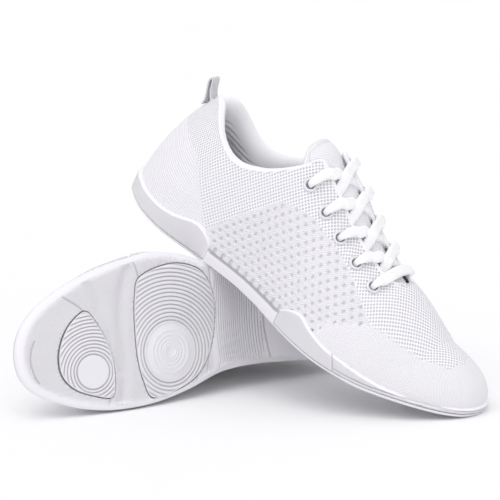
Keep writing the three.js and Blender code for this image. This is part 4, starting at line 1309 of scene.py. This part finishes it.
def plate(shoe, name, nodes, theta_of, low_of, top_of, count, line_at=None):
    """A moulded plate on the sole's side. theta_of(share, z) gives where along the side a point is."""
    offsets = np.array([0, 0.06, 0.2, 0.45, 0.8, 1.2])
    share = np.unique(np.r_[np.linspace(0, 1, count), 0.002, 0.006, 0.012, 0.988, 0.994, 0.998])
    x = loop_point(theta_of(share, np.full(share.shape, 8.0)))[0]
    low, top = low_of(x), top_of(x)
    levels = [low + d for d in offsets]
    levels += [low + 1.2 + (top - low - 2.4) * s for s in np.linspace(0, 1, 12)[1:-1]]
    levels += [top - d for d in offsets[::-1]]
    z = np.stack(levels)
    theta = theta_of(share[None, :], z)
    ends = np.minimum(share, 1 - share)[None, :] * (count * 1.3)
    near = np.clip(np.minimum(np.minimum(z - low, top - z), ends) / 1.1, 0, 1)
    inset = PLATE_DEPTH - PLATE_DEPTH * np.sqrt(1 - (1 - near) ** 2)
    inset -= 0.1 * np.sin(np.pi * np.clip((z - low) / (top - low), 0, 1))
    # Painted shade along the groove line, where one is given, which is also set in a little.
    hollow_shade = np.zeros(z.shape)
    if line_at is not None:
        hollow_shade = smooth(0.55, 0.15, np.abs(z - line_at(x)[None, :]))
        inset = inset + 0.5 * hollow_shade
    points = side_point(theta, z, inset)
    uvs = {"Mould": np.stack([np.broadcast_to(run_along(points[4]), z.shape).ravel(), z.ravel()], -1)}
    values = {"hollow_shade": hollow_shade.ravel(), "hatch": smooth(0.7, 1.0, near).ravel()}
    made = add_mesh(f"{shoe.side}_{name}", shoe, points.reshape(-1, 3), grid(*z.shape), SIDE, uvs, values)
    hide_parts(*[f"{shoe.side}_{node}" for node in nodes])
    return made


def seam_x(z):
    """Where the rand meets the foxing panels, at a height."""
    return np.interp(z, [2, 12], [187, 181.5])


def level(height):
    return lambda x: np.full(np.shape(x), height)


def cup(shoe):
    end = float(angle_of(CUP_END))

    def theta_of(share, z):
        return (2 * share - 1) * end + 0 * z

    made = plate(shoe, "heel_cup_wrap", ["heel_cup"], theta_of, level(CUP_LOW), cup_top, 170)
    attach(made, shoe.body())


def foxings(shoe):
    def lateral_theta(share, z):
        return angle_of(FOXING_START + (seam_x(z) - FOXING_START) * share)

    def medial_theta(share, z):
        return 2 * np.pi - angle_of(FOXING_START + (seam_x(z) - FOXING_START) * (1 - share))

    for name, theta_of in (("lateral_foxing", lateral_theta), ("medial_foxing", medial_theta)):
        made = plate(shoe, f"{name}_panel", [name], theta_of, level(FOXING_LOW), foxing_top, 70)
        bends(made, shoe)


def rand(shoe):
    def theta_of(share, z):
        start = angle_of(seam_x(z) + 0.5)
        return start + (2 * np.pi - 2 * start) * share

    def line_at(x):
        return rand_bottom(x) + 2.2

    made = plate(shoe, "toe_rand_wrap", ["toe_rand"], theta_of, rand_bottom, rand_top, 260, line_at)
    bends(made, shoe)


# ---- everything ----------------------------------------------------------------------------------
for one in SHOES:
    upper(one)
    for place_of_eyelet in EYELETS:
        eyelet(one, place_of_eyelet)
    collar(one)
    tongue(one)
    lace(one)
    pull_tab(one)
    footbed(one)
    sole(one)
    for pad_key in PADS:
        pad(one, pad_key)
    cup(one)
    foxings(one)
    rand(one)
    for hidden in ("insole_board", "heel_counter", "toe_puff"):
        hidden_slots = frame["nodes"][f"{one.side}_{hidden}"].data.materials
        hidden_slots.clear()
        hidden_slots.append(BOARD)

# ---- floor, light and camera ---------------------------------------------------------------------
floor_mesh = bpy.data.meshes.new("studio_floor")
floor_mesh.from_pydata([(-15, -15, 0), (15, -15, 0), (15, 15, 0), (-15, 15, 0)], [], [(0, 1, 2, 3)])
floor_mesh.materials.append(FLOOR)
floor_object = bpy.data.objects.new("studio_floor", floor_mesh)
bpy.context.scene.collection.objects.link(floor_object)

world = bpy.data.worlds.new("studio")
world.use_nodes = True
background = world.node_tree.nodes["Background"]
background.inputs["Color"].default_value = (0.985, 0.98, 1.0, 1)
background.inputs["Strength"].default_value = 0.78
bpy.context.scene.world = world


def sun(name, strength, angle, aim):
    data = bpy.data.lights.new(name, "SUN")
    data.energy = strength
    data.angle = math.radians(angle)
    made = bpy.data.objects.new(name, data)
    made.rotation_mode = "QUATERNION"
    made.rotation_quaternion = Vector(aim).to_track_quat("-Z", "Y")
    bpy.context.scene.collection.objects.link(made)


sun("softbox_above", 0.95, 50, (0.25, 0.5, -1.0))
sun("softbox_front", 0.22, 70, (-0.35, 1.0, -0.6))

VIEW_TILT = math.radians(10.54)
VIEW_DISTANCE = 1.3
LOOK_AT = Vector((-0.0023, -0.0418, 0.0918))
camera_data = bpy.data.cameras.new("camera")
camera_data.lens = 152.9
camera_data.sensor_width = 36
camera_data.clip_start, camera_data.clip_end = 0.1, 100
camera = bpy.data.objects.new("camera", camera_data)
back = Vector((0, -math.cos(VIEW_TILT), math.sin(VIEW_TILT)))
camera.location = LOOK_AT + back * VIEW_DISTANCE
camera.rotation_mode = "QUATERNION"
camera.rotation_quaternion = (-back).to_track_quat("-Z", "Y")
bpy.context.scene.collection.objects.link(camera)
bpy.context.scene.camera = camera
bpy.context.scene.view_settings.view_transform = "Standard"
